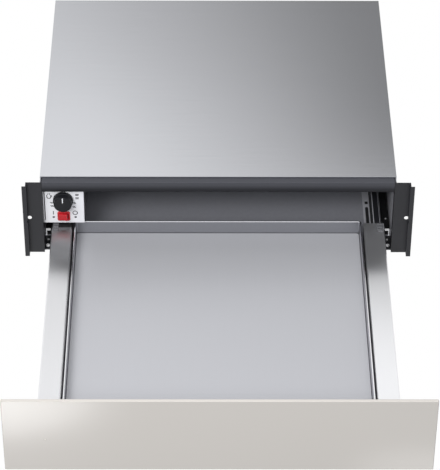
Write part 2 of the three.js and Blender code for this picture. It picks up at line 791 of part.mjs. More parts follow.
function selectorSwitch() {
  const [s, y] = [selectorSize / 2, fasciaBackY];
  const body = block(knobX - s, knobX + s, y, y + selectorDepth, knobZ - s, knobZ + s);
  const front = fasciaY - bushLength;
  const stem = [
    [0, front - shaftLength], [shaftDiameter / 2, front - shaftLength], [shaftDiameter / 2, front],
    [bushDiameter / 2, front], [bushDiameter / 2, y + past], [0, y + past],
  ];
  return joined(body, turned(stem, "y", [knobX, 0, knobZ], 20));
}

// Skirt and tapered grip, bored for the shaft, drawn with its pointer straight up.
function selectorKnob() {
  const rear = fasciaY - bushLength - knobGap;
  const [skirt, grip] = [knobDiameter / 2, knobGripDiameter / 2];
  const bore = shaftDiameter / 2 + slip;
  const front = rear - knobLength;
  const boreEnd = fasciaY - bushLength - shaftLength - slip * 2;
  const outline = [
    [0, front], [grip - knobBevel, front], [grip, front + knobBevel], [grip + knobTaper, rear - knobSkirt],
    [skirt - edgeBevel, rear - knobSkirt], [skirt, rear - knobSkirt + edgeBevel], [skirt, rear], [bore, rear],
    [bore, boreEnd], [0, boreEnd],
  ];
  const body = turned(outline, "y", [knobX, 0, knobZ], 40);
  const [w, top] = [pointerSize[0] / 2, knobZ + grip - knobBevel];
  const pointer = block(knobX - w, knobX + w, front - pointerProud, front + past, top - pointerSize[1], top);
  return joined(body, pointer);
}

function rockerSwitch() {
  const [bw, bh] = rockerBezel.map((size) => size / 2);
  const [cw, ch] = rockerCutout.map((size) => size / 2);
  const front = fasciaY - rockerBezelThickness;
  const bezel = block(knobX - bw, knobX + bw, front, fasciaY, rockerZ - bh, rockerZ + bh);
  const body = block(knobX - cw, knobX + cw, fasciaY - past, fasciaY + rockerBodyDepth,
    rockerZ - ch, rockerZ + ch);
  const [ww, wh] = [cw - rockerWall, ch - rockerWall];
  const well = block(knobX - ww, knobX + ww, front - past, front + rockerWellDepth,
    rockerZ - wh, rockerZ + wh);
  const pins = prism(circle(knobX, rockerPivotY, rockerPinDiameter + slip * 2, 16), "z",
    rockerZ - wh - rockerPinLength - slip, rockerZ + wh + rockerPinLength + slip);
  return surface(solid(bezel).add(solid(body)).subtract(solid(well)).subtract(solid(pins)));
}

// Seen from above: two slopes that meet in a low middle, sides and a round belly, turned to its rest tilt.
function rockerButton() {
  const w = rockerCutout[0] / 2 - rockerWall - slip * 3;
  const h = rockerCutout[1] / 2 - rockerWall - slip;
  const frontY = fasciaY - rockerBezelThickness - rockerPivotY;
  const [middle, ends] = [frontY - rockerProud, frontY - rockerProud - rockerRimProud];
  const foot = w - rockerFootInset;
  const belly = arc(0, 0, rockerBelly, ...rockerBellyArc, 6);
  const outline = [[-w, ends], [0, middle], [w, ends], [foot, rockerFoot], ...belly, [-foot, rockerFoot]];
  const button = prism(outline, "z", -h, h);
  const pin = prism(circle(0, 0, rockerPinDiameter, 12), "z", -h - slip - rockerPinLength,
    h + slip + rockerPinLength);
  return joined(button, pin);
}

// ---- Latch and mains box ------------------------------------------------------------------------

function latchBody() {
  const w = latchWidth / 2;
  const shell = block(-w, w, latchFrontY, latchRearY, latchRise, latchRise + latchHeight);
  const bore = prism(circle(0, latchZ, plungerDiameter + slip * 2, 20), "y", latchFrontY - past,
    latchRearY - latchWall);
  return cut(shell, bore);
}

function latchPlunger() {
  const [stem, head] = [plungerDiameter / 2, plungerHead / 2];
  const [headFront, headRear] = [plungerFrontY, plungerFrontY + plungerHeadThickness];
  const outline = [
    [0, headFront], [head - edgeBevel, headFront], [head, headFront + edgeBevel], [head, headRear],
    [stem, headRear], [stem, latchFrontY + plungerStem], [0, latchFrontY + plungerStem],
  ];
  return turned(outline, "y", [0, 0, latchZ], 20);
}

// One unbroken wire round the latch's axis, between the plunger's end and the bore's end.
class Helix extends THREE.Curve {
  constructor(radius, from, to, turns, height) {
    super();
    Object.assign(this, { radius, from, to, turns, height });
  }

  getPoint(t, target = new THREE.Vector3()) {
    const turn = t * this.turns * Math.PI * 2;
    const y = this.from + (this.to - this.from) * t;
    return target.set(this.radius * Math.cos(turn), y, this.height + this.radius * Math.sin(turn));
  }
}

function latchSpring() {
  const margin = springWire / 2 + slip;
  const from = latchFrontY + plungerStem + margin;
  const to = latchRearY - latchWall - margin;
  const radius = (springDiameter - springWire) / 2;
  const path = new Helix(radius, from, to, springTurns, latchZ);
  return new THREE.ExtrudeGeometry(round(springWire, 5), { steps: springTurns * 8, extrudePath: path });
}

function latchStriker() {
  const [w, low] = [strikerSize[0] / 2, latchRise + strikerLift];
  return block(-w, w, trayRearY, plungerFrontY - strikerGap, low, low + strikerSize[1]);
}

const terminalX = half - terminalInset - terminalWidth;

function terminalBox() {
  const [x0, x1] = [terminalX, terminalX + terminalWidth];
  const [z0, z1] = [terminalRise, terminalRise + terminalHeight];
  const t = terminalSheet;
  const shell = block(x0, x1, backY, backY + terminalDepth - t, z0, z1);
  const hollow = block(x0 + t, x1 - t, backY + t, backY + terminalDepth, z0 + t, z1 - t);
  const [midX, midZ] = [(x0 + x1) / 2, (z0 + z1) / 2];
  const lead = prism(circle(midX, midZ, leadHole), "y", backY - past, backY + t + past);
  const mains = prism(circle(backY + terminalDepth / 2, midZ, glandBore + slip), "x",
    x0 - past, x0 + t + past);
  return cut(shell, hollow, lead, mains);
}

function terminalCover() {
  const outline = roundedRectangle(terminalX, terminalX + terminalWidth, terminalRise,
    terminalRise + terminalHeight, 2);
  return prism(outline, "y", backY + terminalDepth - terminalSheet, backY + terminalDepth);
}

function terminalStrip() {
  const [length, height, depth] = terminalBlock;
  const [fromRight, fromLow] = terminalBlockInset;
  const [x, z] = [terminalX + terminalWidth - fromRight - length, terminalRise + fromLow];
  const y = backY + terminalSheet;
  return block(x, x + length, y, y + depth, z, z + height);
}

// A six-sided nut and a round collar, bored for the mains lead.
function cableGland() {
  const [r, bore, collarR] = [glandDiameter / 2, glandBore / 2, glandCollar / 2];
  const centre = [terminalX, backY + terminalDepth / 2, terminalRise + terminalHeight / 2];
  const turn = (outline, sides) => turned(outline, "x", centre, sides);
  const nut = turn([[0, -glandNut], [r, -glandNut], [r, 0], [0, 0]], glandSides);
  const collar = turn([[0, -glandLength], [collarR, -glandLength], [collarR, -past], [0, -past]], 20);
  const hole = turn([[0, -glandLength - past], [bore, -glandLength - past], [bore, past], [0, past]], 20);
  return surface(solid(nut).add(solid(collar)).subtract(solid(hole)));
}

// ---- Fasteners and tabs -------------------------------------------------------------------------

const footTop = bodySheet * 2; // upper face of the side wall's turned-in foot
const footMidX = wallX - wallFlange / 2;

function head(x, y, z, diameter, height) {
  const r = diameter / 2;
  const outline = [[0, 0], [r, 0], [r, headEdge], [r * headDome, height], [0, height]];
  const geometry = turned(outline, "y", [0, 0, 0], 16);
  geometry.rotateX(Math.PI / 2);
  geometry.translate(x, y, z);
  return geometry;
}

// A small hook bent up beside the drawer.
function sideTab(side) {
  const outerX = wallX - bracketSheet - slip;
  const y = faceY + tabSetback;
  const tabTop = footTop + tabHeight;
  const leg = block(side * (outerX - tabSheet), side * outerX, y, y + tabLength, footTop, tabTop);
  const top = block(side * (outerX - tabReach), side * outerX, y, y + tabLength, tabTop - tabSheet, tabTop);
  return joined(leg, top);
}

// ---- Building it --------------------------------------------------------------------------------

add(warmingDrawer, "base_plate", basePlate(), "galvanised");
add(warmingDrawer, "top_cover", topCover(), "brushedSteel");
add(warmingDrawer, "rear_wall", rearWall(), "galvanised");
add(warmingDrawer, "front_bar", frontBar(), "darkPaint");

for (const [word, side] of sides) {
  add(warmingDrawer, `${word}_side_wall`, sideWall(side), "galvanised");
  add(warmingDrawer, `${word}_fixing_bracket`, fixingBracket(side), "darkPaint");
  add(warmingDrawer, `${word}_runner_bracket`, runnerBracket(side), "runnerSteel");
  add(warmingDrawer, `${word}_fixed_rail`, fixedRail(side), "runnerSteel");
  add(warmingDrawer, `${word}_side_tab`, sideTab(side), "runnerSteel");
  add(warmingDrawer, `${word}_base_screw`,
    head(side * footMidX, faceY + screwSetback, bracketFootTop, screwHead, screwHeadHeight), "runnerSteel");
  add(warmingDrawer, `${word}_base_rivet`,
    head(side * footMidX, faceY + rivetSetback, bracketFootTop, rivetHead, rivetHeadHeight), "runnerSteel");

  add(middleRails, `${word}_middle_rail`, middleRail(side), "runnerSteel");
  add(outerCages, `${word}_outer_ball_cage`, outerCage(side), "brassParts");
  add(innerCages, `${word}_inner_ball_cage`, innerCage(side), "brassParts");

  add(drawer, `${word}_side_profile`, sideProfile(side), "polishedSteel");
  add(drawer, `${word}_profile_catch`, profileCatch(side), "greyPlastic");
  add(drawer, `${word}_front_bracket`, frontBracket(side), "galvanised");
  add(drawer, `${word}_drawer_rail`, drawerRail(side), "runnerSteel");
  add(drawer, `${word}_bumper`, bumper(side), "rubber");
}

add(drawer, "front_glass", frontGlass(), "greigeGlass");
add(drawer, "backing_pan", backingPan(), "galvanised");
add(drawer, "indicator_lens", indicator(), "lightLens");
add(drawer, "tray", tray(), "polishedSteel");
add(drawer, "floor_plate", floorPlate(), "satinPlate");
add(drawer, "base_pan", basePan(), "galvanised");
add(drawer, "insulation_board", insulationBoard(), "insulation");
add(drawer, "heating_element", heatingElement(), "heater");
add(drawer, "floor_thermostat", thermostat(), "brushedSteel");
add(drawer, "junction_box", junctionBox(), "blackPlastic");
add(drawer, "lead_grommet", leadGrommet(), "rubber");
add(drawer, "latch_striker", latchStriker(), "greyPlastic");

add(warmingDrawer, "control_fascia", controlFascia(), "whitePlastic");
add(warmingDrawer, "control_box", controlBox(), "greyPlastic");
add(warmingDrawer, "selector_switch", selectorSwitch(), "greyPlastic");
add(warmingDrawer, "selector_knob", selectorKnob(), "blackPlastic");
add(warmingDrawer, "rocker_switch", rockerSwitch(), "redPlastic");
const rocker = add(warmingDrawer, "rocker_button", rockerButton(), "redPlastic");
rocker.position.set(knobX, rockerPivotY, rockerZ);
rocker.rotation.z = THREE.MathUtils.degToRad(-rockerTilt);

add(warmingDrawer, "latch_body", latchBody(), "greyPlastic");
add(warmingDrawer, "latch_plunger", latchPlunger(), "blackPlastic");
add(warmingDrawer, "latch_spring", latchSpring(), "brushedSteel");
add(warmingDrawer, "terminal_box", terminalBox(), "galvanised");
add(warmingDrawer, "terminal_cover", terminalCover(), "galvanised");
add(warmingDrawer, "terminal_strip", terminalStrip(), "whitePlastic");
add(warmingDrawer, "cable_gland", cableGland(), "blackPlastic");

export default warmingDrawer;
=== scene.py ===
# %% [markdown]
# # A built-in warming drawer, dressed in Blender
#
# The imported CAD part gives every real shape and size. This lesson adds what a camera sees on top of
# it: finishes, rounded edges, printed marks and the small bent and turned parts that a plain solid
# only hints at. Everything is in metres, in the same frame as the CAD: +X right, +Y to the back, +Z
# up, and the drawer is pulled right out towards -Y.

# %% Load the frame
import json
import math

import bmesh
import bpy
import numpy as np
from mathutils import Matrix, Vector
from mathutils.geometry import tessellate_polygon


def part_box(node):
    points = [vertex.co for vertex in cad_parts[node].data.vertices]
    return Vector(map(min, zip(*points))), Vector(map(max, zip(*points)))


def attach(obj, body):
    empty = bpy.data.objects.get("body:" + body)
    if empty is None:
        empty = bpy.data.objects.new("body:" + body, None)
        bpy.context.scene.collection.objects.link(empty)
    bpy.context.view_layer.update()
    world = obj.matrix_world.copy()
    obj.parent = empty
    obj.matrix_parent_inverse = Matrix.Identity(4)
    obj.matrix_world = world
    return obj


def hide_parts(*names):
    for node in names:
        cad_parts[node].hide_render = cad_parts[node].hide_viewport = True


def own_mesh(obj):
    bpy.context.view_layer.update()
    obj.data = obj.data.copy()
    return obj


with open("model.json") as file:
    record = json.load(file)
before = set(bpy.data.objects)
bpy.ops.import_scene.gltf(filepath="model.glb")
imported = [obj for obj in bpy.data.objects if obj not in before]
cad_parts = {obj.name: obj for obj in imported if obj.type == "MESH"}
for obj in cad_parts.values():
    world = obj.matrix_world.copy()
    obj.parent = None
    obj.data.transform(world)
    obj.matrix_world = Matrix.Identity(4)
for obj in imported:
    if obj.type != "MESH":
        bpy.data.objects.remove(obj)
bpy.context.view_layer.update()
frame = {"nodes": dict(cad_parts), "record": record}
MM = 0.001
SIDES = (("left", -1), ("right", 1))

# %% [markdown]
# ## Finishes
#
# Each finish is one Principled shader. What is the same all over is set on the shader itself, and
# what varies comes from noise on Object coordinates, so it stays on the piece when the drawer
# moves. Sheet steel that is brushed shows fine streaks: noise that is stretched along the brushing
# and squeezed across it. Real streaks are narrower than a pixel here, so they only break up the
# reflection a little.

# %% Material helpers
LOOKS = {}


def finish(name, colour, roughness, metallic=0.0, **sockets):
    """A Principled material of one colour, kept in LOOKS; sockets are further inputs, with _ for a
    space."""
    made = LOOKS[name] = bpy.data.materials.new(name)
    made.use_nodes = True
    shader = made.node_tree.nodes["Principled BSDF"]
    values = {"Base Color": (*colour, 1.0), "Roughness": roughness, "Metallic": metallic}
    values.update({key.replace("_", " "): value for key, value in sockets.items()})
    for socket, value in values.items():
        shader.inputs[socket].default_value = value
    return made


def vary(made, scale, colour=0.0, roughness=0.0, bump=0.0, detail=4.0):
    """Noise at scale (per metre along x, y, z) moves the colour and the roughness by a share of
    their value, up and down, and lifts the surface by up to bump metres."""
    nodes, links = made.node_tree.nodes, made.node_tree.links
    shader = nodes["Principled BSDF"]
    place, stretch = nodes.new("ShaderNodeTexCoord"), nodes.new("ShaderNodeMapping")
    noise = nodes.new("ShaderNodeTexNoise")
    stretch.inputs["Scale"].default_value = scale
    noise.inputs["Scale"].default_value = 1.0
    noise.inputs["Detail"].default_value = detail
    links.new(place.outputs["Object"], stretch.inputs["Vector"])
    links.new(stretch.outputs["Vector"], noise.inputs["Vector"])
    if colour:
        base = np.array(shader.inputs["Base Color"].default_value[:3])
        ramp = nodes.new("ShaderNodeMix")
        ramp.data_type = "RGBA"
        ramp.inputs["A"].default_value = (*(base * (1 - colour)), 1.0)
        ramp.inputs["B"].default_value = (*np.minimum(base * (1 + colour), 1.0), 1.0)
        links.new(noise.outputs["Fac"], ramp.inputs["Factor"])
        links.new(ramp.outputs["Result"], shader.inputs["Base Color"])
    if roughness:
        middle = shader.inputs["Roughness"].default_value
        span = nodes.new("ShaderNodeMapRange")
        span.inputs["To Min"].default_value = middle * (1 - roughness)
        span.inputs["To Max"].default_value = middle * (1 + roughness)
        links.new(noise.outputs["Fac"], span.inputs["Value"])
        links.new(span.outputs["Result"], shader.inputs["Roughness"])
    if bump:
        lift = nodes.new("ShaderNodeBump")
        lift.inputs["Distance"].default_value = bump
        links.new(noise.outputs["Fac"], lift.inputs["Height"])
        links.new(lift.outputs["Normal"], shader.inputs["Normal"])
    return made


print("helpers: finish, vary")

# %% [markdown]
# The side profiles are brushed along their length. Such a surface is nearly a mirror along the
# scratches and very blurred across them, so it smears what stands behind it sideways. The shader
# has this as Anisotropic: it needs the direction of the scratches as its Tangent, and a quarter
# turn so that the blur lies across them.

# %% Brushed along Y
QUARTER_TURN = 0.25


def brushed(made, along=(0.02, 1.0, 0.03)):
    """Turns the blur of an anisotropic finish square to the direction along. The direction is
    tipped a little, so that it is never square to a face."""
    nodes, links = made.node_tree.nodes, made.node_tree.links
    shader, tangent = nodes["Principled BSDF"], nodes.new("ShaderNodeCombineXYZ")
    for socket, value in zip(tangent.inputs, along):
        socket.default_value = value
    links.new(tangent.outputs["Vector"], shader.inputs["Tangent"])
    shader.inputs["Anisotropic Rotation"].default_value = QUARTER_TURN
    return made


print("helper: brushed")

# %% [markdown]
# The colours below were set under the lights at the end of this lesson. Paint and plastic
# are plain. Zinc is half metal and half chalky skin, so its Metallic stays low. Two small things
# give a little light of their own: the indicator, and the tabs beside the drawer. The tabs' glow is a
# painted highlight for the spark that their real edges catch and the dark opening loses here.

# %% The finishes
POLISHED = (0.95, 0.955, 0.975)
GRAIN = {"scale": (2400, 2400, 2400), "bump": 0.00003, "detail": 2.0}
vary(finish("brushed_steel", (0.70, 0.71, 0.745), 0.22, 1.0),
     (12, 2600, 12), colour=0.05, roughness=0.12)
vary(finish("galvanised_steel", (0.32, 0.325, 0.36), 0.50, 0.2),
     (160, 160, 160), colour=0.08, roughness=0.12)
vary(finish("dark_paint", (0.030, 0.031, 0.036), 0.42), **GRAIN)
vary(finish("bar_paint", (0.074, 0.076, 0.087), 0.5, Specular_IOR_Level=0.1), **GRAIN)
vary(finish("bracket_paint", (0.015, 0.0155, 0.019), 0.42, Specular_IOR_Level=0.4), **GRAIN)
brushed(vary(finish("polished_steel", POLISHED, 0.38, 0.9, Anisotropic=1.0),
             (900, 14, 900), colour=0.02, roughness=0.06))
vary(finish("tray_steel", (0.37, 0.375, 0.40), 0.28, 0.9), (500, 500, 14), colour=0.02)
# the tray's rim: a brighter copy of the tray's steel, a painted highlight along its bead
finish("rim_steel_painted_highlight", (0.93, 0.935, 0.96), 0.16, 1.0)
vary(finish("runner_steel", (0.46, 0.465, 0.50), 0.36, 0.5),
     (220, 220, 220), colour=0.06, roughness=0.1)
# the side walls: a lighter copy of the galvanised steel, painted light on their inner faces
vary(finish("wall_zinc_painted_light", (0.50, 0.505, 0.54), 0.45, 0.2),
     (160, 160, 160), colour=0.06, roughness=0.1)
vary(finish("foot_zinc", (0.62, 0.625, 0.67), 0.40, 0.3),
     (220, 220, 220), colour=0.06, roughness=0.1)
finish("bright_zinc", (0.92, 0.925, 0.935), 0.32, 0.25)
# the tabs: zinc with a painted highlight, a glow of their own
finish("tab_zinc_painted_glint", (0.92, 0.925, 0.935), 0.32, 0.1,
       Emission_Color=(0.97, 0.98, 1.0, 1.0), Emission_Strength=0.30)
finish("rail_black", (0.022, 0.022, 0.026), 0.35, 0.3)
finish("greige_glass", (0.60, 0.57, 0.535), 0.12, Coat_Weight=0.6, Coat_Roughness=0.02)
vary(finish("satin_plate", (0.52, 0.525, 0.555), 0.45, 0.3),
     (700, 10, 700), colour=0.015, roughness=0.06)
finish("white_plastic", (0.88, 0.885, 0.92), 0.42)
vary(finish("black_plastic", (0.009, 0.0095, 0.012), 0.5, Specular_IOR_Level=0.35),
     (3000, 3000, 3000), bump=0.00002, detail=2.0)
finish("red_plastic", (0.54, 0.012, 0.020), 0.22, Coat_Weight=0.5, Coat_Roughness=0.1)
finish("grey_plastic", (0.15, 0.15, 0.16), 0.5)
finish("catch_grey", (0.12, 0.122, 0.132), 0.42)
finish("rubber", (0.022, 0.022, 0.024), 0.8)
vary(finish("insulation", (0.76, 0.72, 0.63), 0.95), (500, 500, 500), colour=0.12, bump=0.0004)
finish("heater_sheath", (0.10, 0.09, 0.085), 0.5, 0.8)
finish("cage_brass", (0.48, 0.33, 0.10), 0.35, 1.0)
finish("spring_steel", (0.55, 0.56, 0.58), 0.25, 1.0)
finish("print_grey", (0.05, 0.05, 0.058), 0.6)
finish("light_lens", (0.90, 0.88, 0.84), 0.15, Coat_Weight=0.5,
       Emission_Color=(1.0, 0.98, 0.95, 1.0), Emission_Strength=0.4)
print(len(LOOKS), "finishes")

# %% [markdown]
# ## The CAD nodes that stay
#
# Most solids already have the right shape. They get their slot's finish and a fine edge: sheet
# metal is never perfectly sharp, and the small round catches the light. The CAD mesh is loose
# triangles, so a Weld comes first, and a Bevel then rounds only edges where two faces really turn.

# %% Dress the CAD nodes
WELD, EDGE, EDGE_FROM = 0.01 * MM, 0.25 * MM, math.radians(35)
slots = {row["node"]: row["material_slot"] for row in frame["record"]["subparts"]}
# painted light: the side walls and the tabs get looks lighter than their slots' finishes
OWN_LOOK = {word + node: look for word, _ in SIDES for node, look in (
    ("_fixing_bracket", "bracket_paint"), ("_runner_bracket", "foot_zinc"),
    ("_fixed_rail", "rail_black"), ("_side_tab", "tab_zinc_painted_glint"), ("_side_wall", "wall_zinc_painted_light"))}
for name, node in frame["nodes"].items():
    node.data.materials.clear()
    node.data.materials.append(LOOKS[OWN_LOOK.get(name, slots[name])])
    weld = node.modifiers.new("weld", "WELD")
    weld.merge_threshold = WELD
    edge = node.modifiers.new("edge", "BEVEL")
    edge.width, edge.segments, edge.limit_method = EDGE, 2, "ANGLE"
    edge.angle_limit = EDGE_FROM
print("dressed", len(slots), "nodes")

# %% [markdown]
# ## Surfaces from numbers
#
# Bent sheet, turned knobs and pressed trays are all one idea: a short outline carried along a path.
# In Blender it could be drawn with curves or pushed about by hand, but worked out with numpy it is
# exact and easy to change. Every surface below is a grid: rows of points, one row for each step
# along the path. `grid_faces` joins each row to the next, and `put` turns rows into a closed mesh,
# checks its normals and hangs it on its body.

# %% Grid and mesh helpers
DOUBLES = 1e-7  # metres: points nearer than this are one


def grid_faces(rows, columns, ring=True):
    """Quads between each row of a grid and the next. With ring, the last column joins the first."""
    steps = columns if ring else columns - 1
    i, j = np.meshgrid(np.arange(rows - 1), np.arange(steps), indexing="ij")
    here, after, k = i * columns, (i + 1) * columns, (j + 1) % columns
    return np.stack([here + j, here + k, after + k, after + j], -1).reshape(-1, 4)


def put(name, points, faces, look, body, replaced=(), flat_angle=30, slot=None):
    """A mesh from points (n, 3) and faces. Doubles are merged, normals turned outwards, edges that
    turn more than flat_angle stay sharp, and the piece rides on body in place of the replaced
    nodes."""
    mesh = bpy.data.meshes.new(name)
    mesh.from_pydata(np.asarray(points).reshape(-1, 3).tolist(), [], [list(face) for face in faces])
    work = bmesh.new()
    work.from_mesh(mesh)
    bmesh.ops.remove_doubles(work, verts=work.verts, dist=DOUBLES)
    bmesh.ops.recalc_face_normals(work, faces=work.faces)
    work.to_mesh(mesh)
    work.free()
    mesh.shade_smooth()
    mesh.set_sharp_from_angle(angle=math.radians(flat_angle))
    mesh.materials.append(LOOKS[look])
    piece = bpy.data.objects.new(name, mesh)
    bpy.context.scene.collection.objects.link(piece)
    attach(piece, body)
    if replaced:
        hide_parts(*replaced)
    return piece


def loft(name, rings, look, body, **more):
    """A closed piece from rings (k, n, 3): neighbouring rings are joined, the first and last are
    filled."""
    rings = np.asarray(rings)
    k, n, _ = rings.shape
    ends = [list(range(n))[::-1], list(range((k - 1) * n, k * n))]
    return put(name, rings, grid_faces(k, n).tolist() + ends, look, body, **more)


print("helpers: grid_faces, put, loft")

# %% [markdown]
# Smooth shading blends the direction of neighbouring faces. Beside a wide flat face that would tint
# the whole face, so every long straight step gets one more point close to each of its ends, and the
# blend stays in the narrow strip between the two. A modeller would add the same support loops by
# hand.

# %% Outlines
SUPPORT, LEAST_RADIUS = 0.25 * MM, 1e-6


def held(path, closed=False):
    """The path with a point SUPPORT from both ends of every step that is longer than six times
    SUPPORT."""
    path = np.asarray(path, float)
    starts, ends = (path, np.roll(path, -1, 0)) if closed else (path[:-1], path[1:])
    step = ends - starts
    length = np.linalg.norm(step, axis=1)
    near = step * (SUPPORT / np.maximum(length, SUPPORT))[:, None]
    keep = np.stack([length >= 0, length > 6 * SUPPORT, length > 6 * SUPPORT], 1)
    points = np.stack([starts, starts + near, ends - near], 1)[keep]
    return points if closed else np.concatenate([points, path[-1:]])


def capped(steps):
    """(inset, height) pairs with one more ring inside the first and the last, level with them."""
    steps = np.asarray(steps, float)
    return np.concatenate([[steps[0] + (SUPPORT, 0)], steps, [steps[-1] + (SUPPORT, 0)]])


def arc(centre, radius, start, end, steps=8):
    """Points at centre + radius (cos a, sin a), a from start to end in degrees."""
    a = np.radians(np.linspace(start, end, steps + 1))
    return np.asarray(centre) + radius * np.stack([np.cos(a), np.sin(a)], 1)


def rounded(half_u, half_v, radius, steps=6):
    """A rectangle with round corners: each corner's centre plus a quarter turn of its radius."""
    radius = max(radius, LEAST_RADIUS)
    u, v = half_u - radius, half_v - radius
    corners = ((u, v), (-u, v), (-u, -v), (u, -v))
    turns = [arc(at, radius, 90 * i, 90 * i + 90, steps) for i, at in enumerate(corners)]
    return held(np.concatenate(turns), closed=True)


def edge_rings(bevel, thickness, steps=4):
    """(inset, height) pairs up the side of a plate whose two rims are rounded by a quarter turn."""
    low = arc((0, bevel), bevel, 270, 360, steps)
    low = np.stack([bevel - low[:, 0], low[:, 1]], 1)
    high = low[::-1] * (1, -1) + (0, thickness)
    return capped(held(np.concatenate([low, high])))


PLANES = {"x": (1, 2, 0), "y": (0, 2, 1), "z": (0, 1, 2)}


def plate(name, low, high, axis, corner, bevel, look, body, **more):
    """A plate that fills the box from low to high, flat across axis, with round corners and rounded
    rims."""
    u, v, w = PLANES[axis]
    low, high = np.array(low, float), np.array(high, float)
    middle, half = (low + high) / 2, (high - low) / 2
    rings = []
    for inset, height in edge_rings(bevel, high[w] - low[w]):
        flat = rounded(half[u] - inset, half[v] - inset, corner - inset)
        ring = np.zeros((len(flat), 3))
        ring[:, u], ring[:, v] = middle[u] + flat[:, 0], middle[v] + flat[:, 1]
        ring[:, w] = low[w] + height
        rings.append(ring)
    return loft(name, rings, look, body, **more)


def sheet(name, path, thickness, axis, start, end, look, body, **more):
    """A bent strip of sheet: path (n, 2) is its outer side, the inner side lies thickness to the
    path's left, square to it, and the strip runs along axis from start to end."""
    path = held(path)
    along = np.gradient(path, axis=0)
    left = np.stack([-along[:, 1], along[:, 0]], 1) / np.linalg.norm(along, axis=1)[:, None]
    outline = np.concatenate([path, (path + left * thickness)[::-1]])
    n, total = len(path), 2 * len(path)
    u, v, w = PLANES[axis]
    rings = np.zeros((2, total, 3))
    rings[:, :, u], rings[:, :, v] = outline[:, 0], outline[:, 1]
    rings[0, :, w], rings[1, :, w] = start, end
    i = np.arange(n - 1)
    cap = np.stack([i, i + 1, total - 2 - i, total - 1 - i], 1)
    faces = np.concatenate([grid_faces(2, total), cap, cap + total])
    return put(name, rings, faces, look, body, **more)


def lathe(name, profile, centre, axis, look, body, segments=64, **more):
    """A turned piece: profile holds (radius, height) along axis, and starts and ends on it."""
    u, v, w = PLANES[axis]
    turn = np.linspace(0, 2 * math.pi, segments, endpoint=False)
    profile = held(profile)
    rings = np.zeros((len(profile), segments, 3)) + np.asarray(centre, float)
    rings[:, :, u] += profile[:, :1] * np.cos(turn)
    rings[:, :, v] += profile[:, :1] * np.sin(turn)
    rings[:, :, w] += profile[:, 1:]
    return put(name, rings, grid_faces(len(profile), segments), look, body, **more)


print("helpers: plate, sheet, lathe")

# %% [markdown]
# ## Front bar
#
# Under the top cover a painted strip closes the housing. It is one sheet, bent twice: a ledge on
# top, a face that rolls under, and nothing behind. An outline of lines and arcs carried along X
# gives the roll its soft shading. In the dark opening the roll looks darker still than that, so
# painted shade darkens its paint a little downwards as well.

# %% Front bar
bar_low, bar_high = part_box("front_bar")
BAR_SHEET, BAR_CREASE, BAR_ROLL, BAR_TURN = 1.2 * MM, 1.4 * MM, 12 * MM, 65
# painted shade: its paint darkens between these heights above its lower edge, down to this share of
# the colour
BAR_SHADE_SPAN, BAR_SHADE_SHARE = (18 * MM, 9.4 * MM), 0.36


def bar_path():
    """From the ledge's back edge forwards, round the crease, down the face and BAR_TURN degrees
    round the roll."""
    y0, y1, z0, z1 = bar_low.y, bar_high.y, bar_low.z, bar_high.z
    crease = arc((y0 + BAR_CREASE, z1 - BAR_CREASE), BAR_CREASE, 90, 180, 6)
    roll_z = z0 + BAR_ROLL * math.sin(math.radians(BAR_TURN))
    roll = arc((y0 + BAR_ROLL, roll_z), BAR_ROLL, 180, 180 + BAR_TURN, 14)
    return np.concatenate([[(y1, z1), (y0 + 3 * BAR_CREASE, z1)], crease, roll])


def painted_shade_towards(made, axis, start, end, share):
    """Painted shade: the colour falls evenly to share of its value from start to end along an Object
    axis.
    """
    nodes, links = made.node_tree.nodes, made.node_tree.links
    shader = nodes["Principled BSDF"]
    place, split, span, mix = (nodes.new("ShaderNode" + kind)
                               for kind in ("TexCoord", "SeparateXYZ", "MapRange", "Mix"))
    colour = shader.inputs["Base Color"].default_value[:3]
    mix.data_type = "RGBA"
    mix.inputs["A"].default_value = (*colour, 1.0)
    mix.inputs["B"].default_value = (*(share * value for value in colour), 1.0)
    span.inputs["From Min"].default_value = start
    span.inputs["From Max"].default_value = end
    links.new(place.outputs["Object"], split.inputs[0])
    links.new(split.outputs[axis], span.inputs["Value"])
    links.new(span.outputs["Result"], mix.inputs["Factor"])
    links.new(mix.outputs["Result"], shader.inputs["Base Color"])


# painted shade: the roll's paint gets darker downwards
shade_from, shade_to = (bar_low.z + height for height in BAR_SHADE_SPAN)
painted_shade_towards(LOOKS["bar_paint"], "Z", shade_from, shade_to, BAR_SHADE_SHARE)
sheet("front_bar_roll", bar_path(), BAR_SHEET, "x", bar_low.x, bar_high.x, "bar_paint", "housing",
      replaced=["front_bar"], slot="dark_paint")
print("front bar %.0f mm long" % ((bar_high.x - bar_low.x) / MM))

# %% [markdown]
# ## Side profiles
#
# The drawer's sides are hollow profiles of polished steel, rolled from strip. Their top edges have
# a radius of a few millimetres, and that radius is the bright or dark line that runs along each
# side. The left one ends under the white control plate but looks as dark there as the right one, so
# its steel has painted shade that darkens towards that end. The right one shines a little more, so it
# is less rough.

# %% Side profiles
# PROFILE_LOW is the height of the outer wall's lower edge, clear of the runner
PROFILE_SHEET, PROFILE_ROLL, PROFILE_LOW = 1.2 * MM, 2.2 * MM, 9 * MM
PROFILE_ROUGHNESS = {"left": 0.38, "right": 0.30}
# painted shade on the left profile: its colour falls from this Y to this share at its rear end
PROFILE_SHADE_FROM, PROFILE_SHADE_SHARE = -322 * MM, 0.16


def profile_path(outer, inner, low_inner, top, side):
    """Up the outer wall, round, across the top, round and down the inner wall."""
    r, straight = PROFILE_ROLL, top - 3 * PROFILE_ROLL
    turns = [arc((outer - r, top - r), r, 0, 90, 8), arc((inner + r, top - r), r, 90, 180, 8)]
    path = np.concatenate([[(outer, PROFILE_LOW), (outer, straight)], *turns,
                           [(inner, straight), (inner, low_inner)]])
    return path * (side, 1) if side > 0 else path[::-1] * (side, 1)


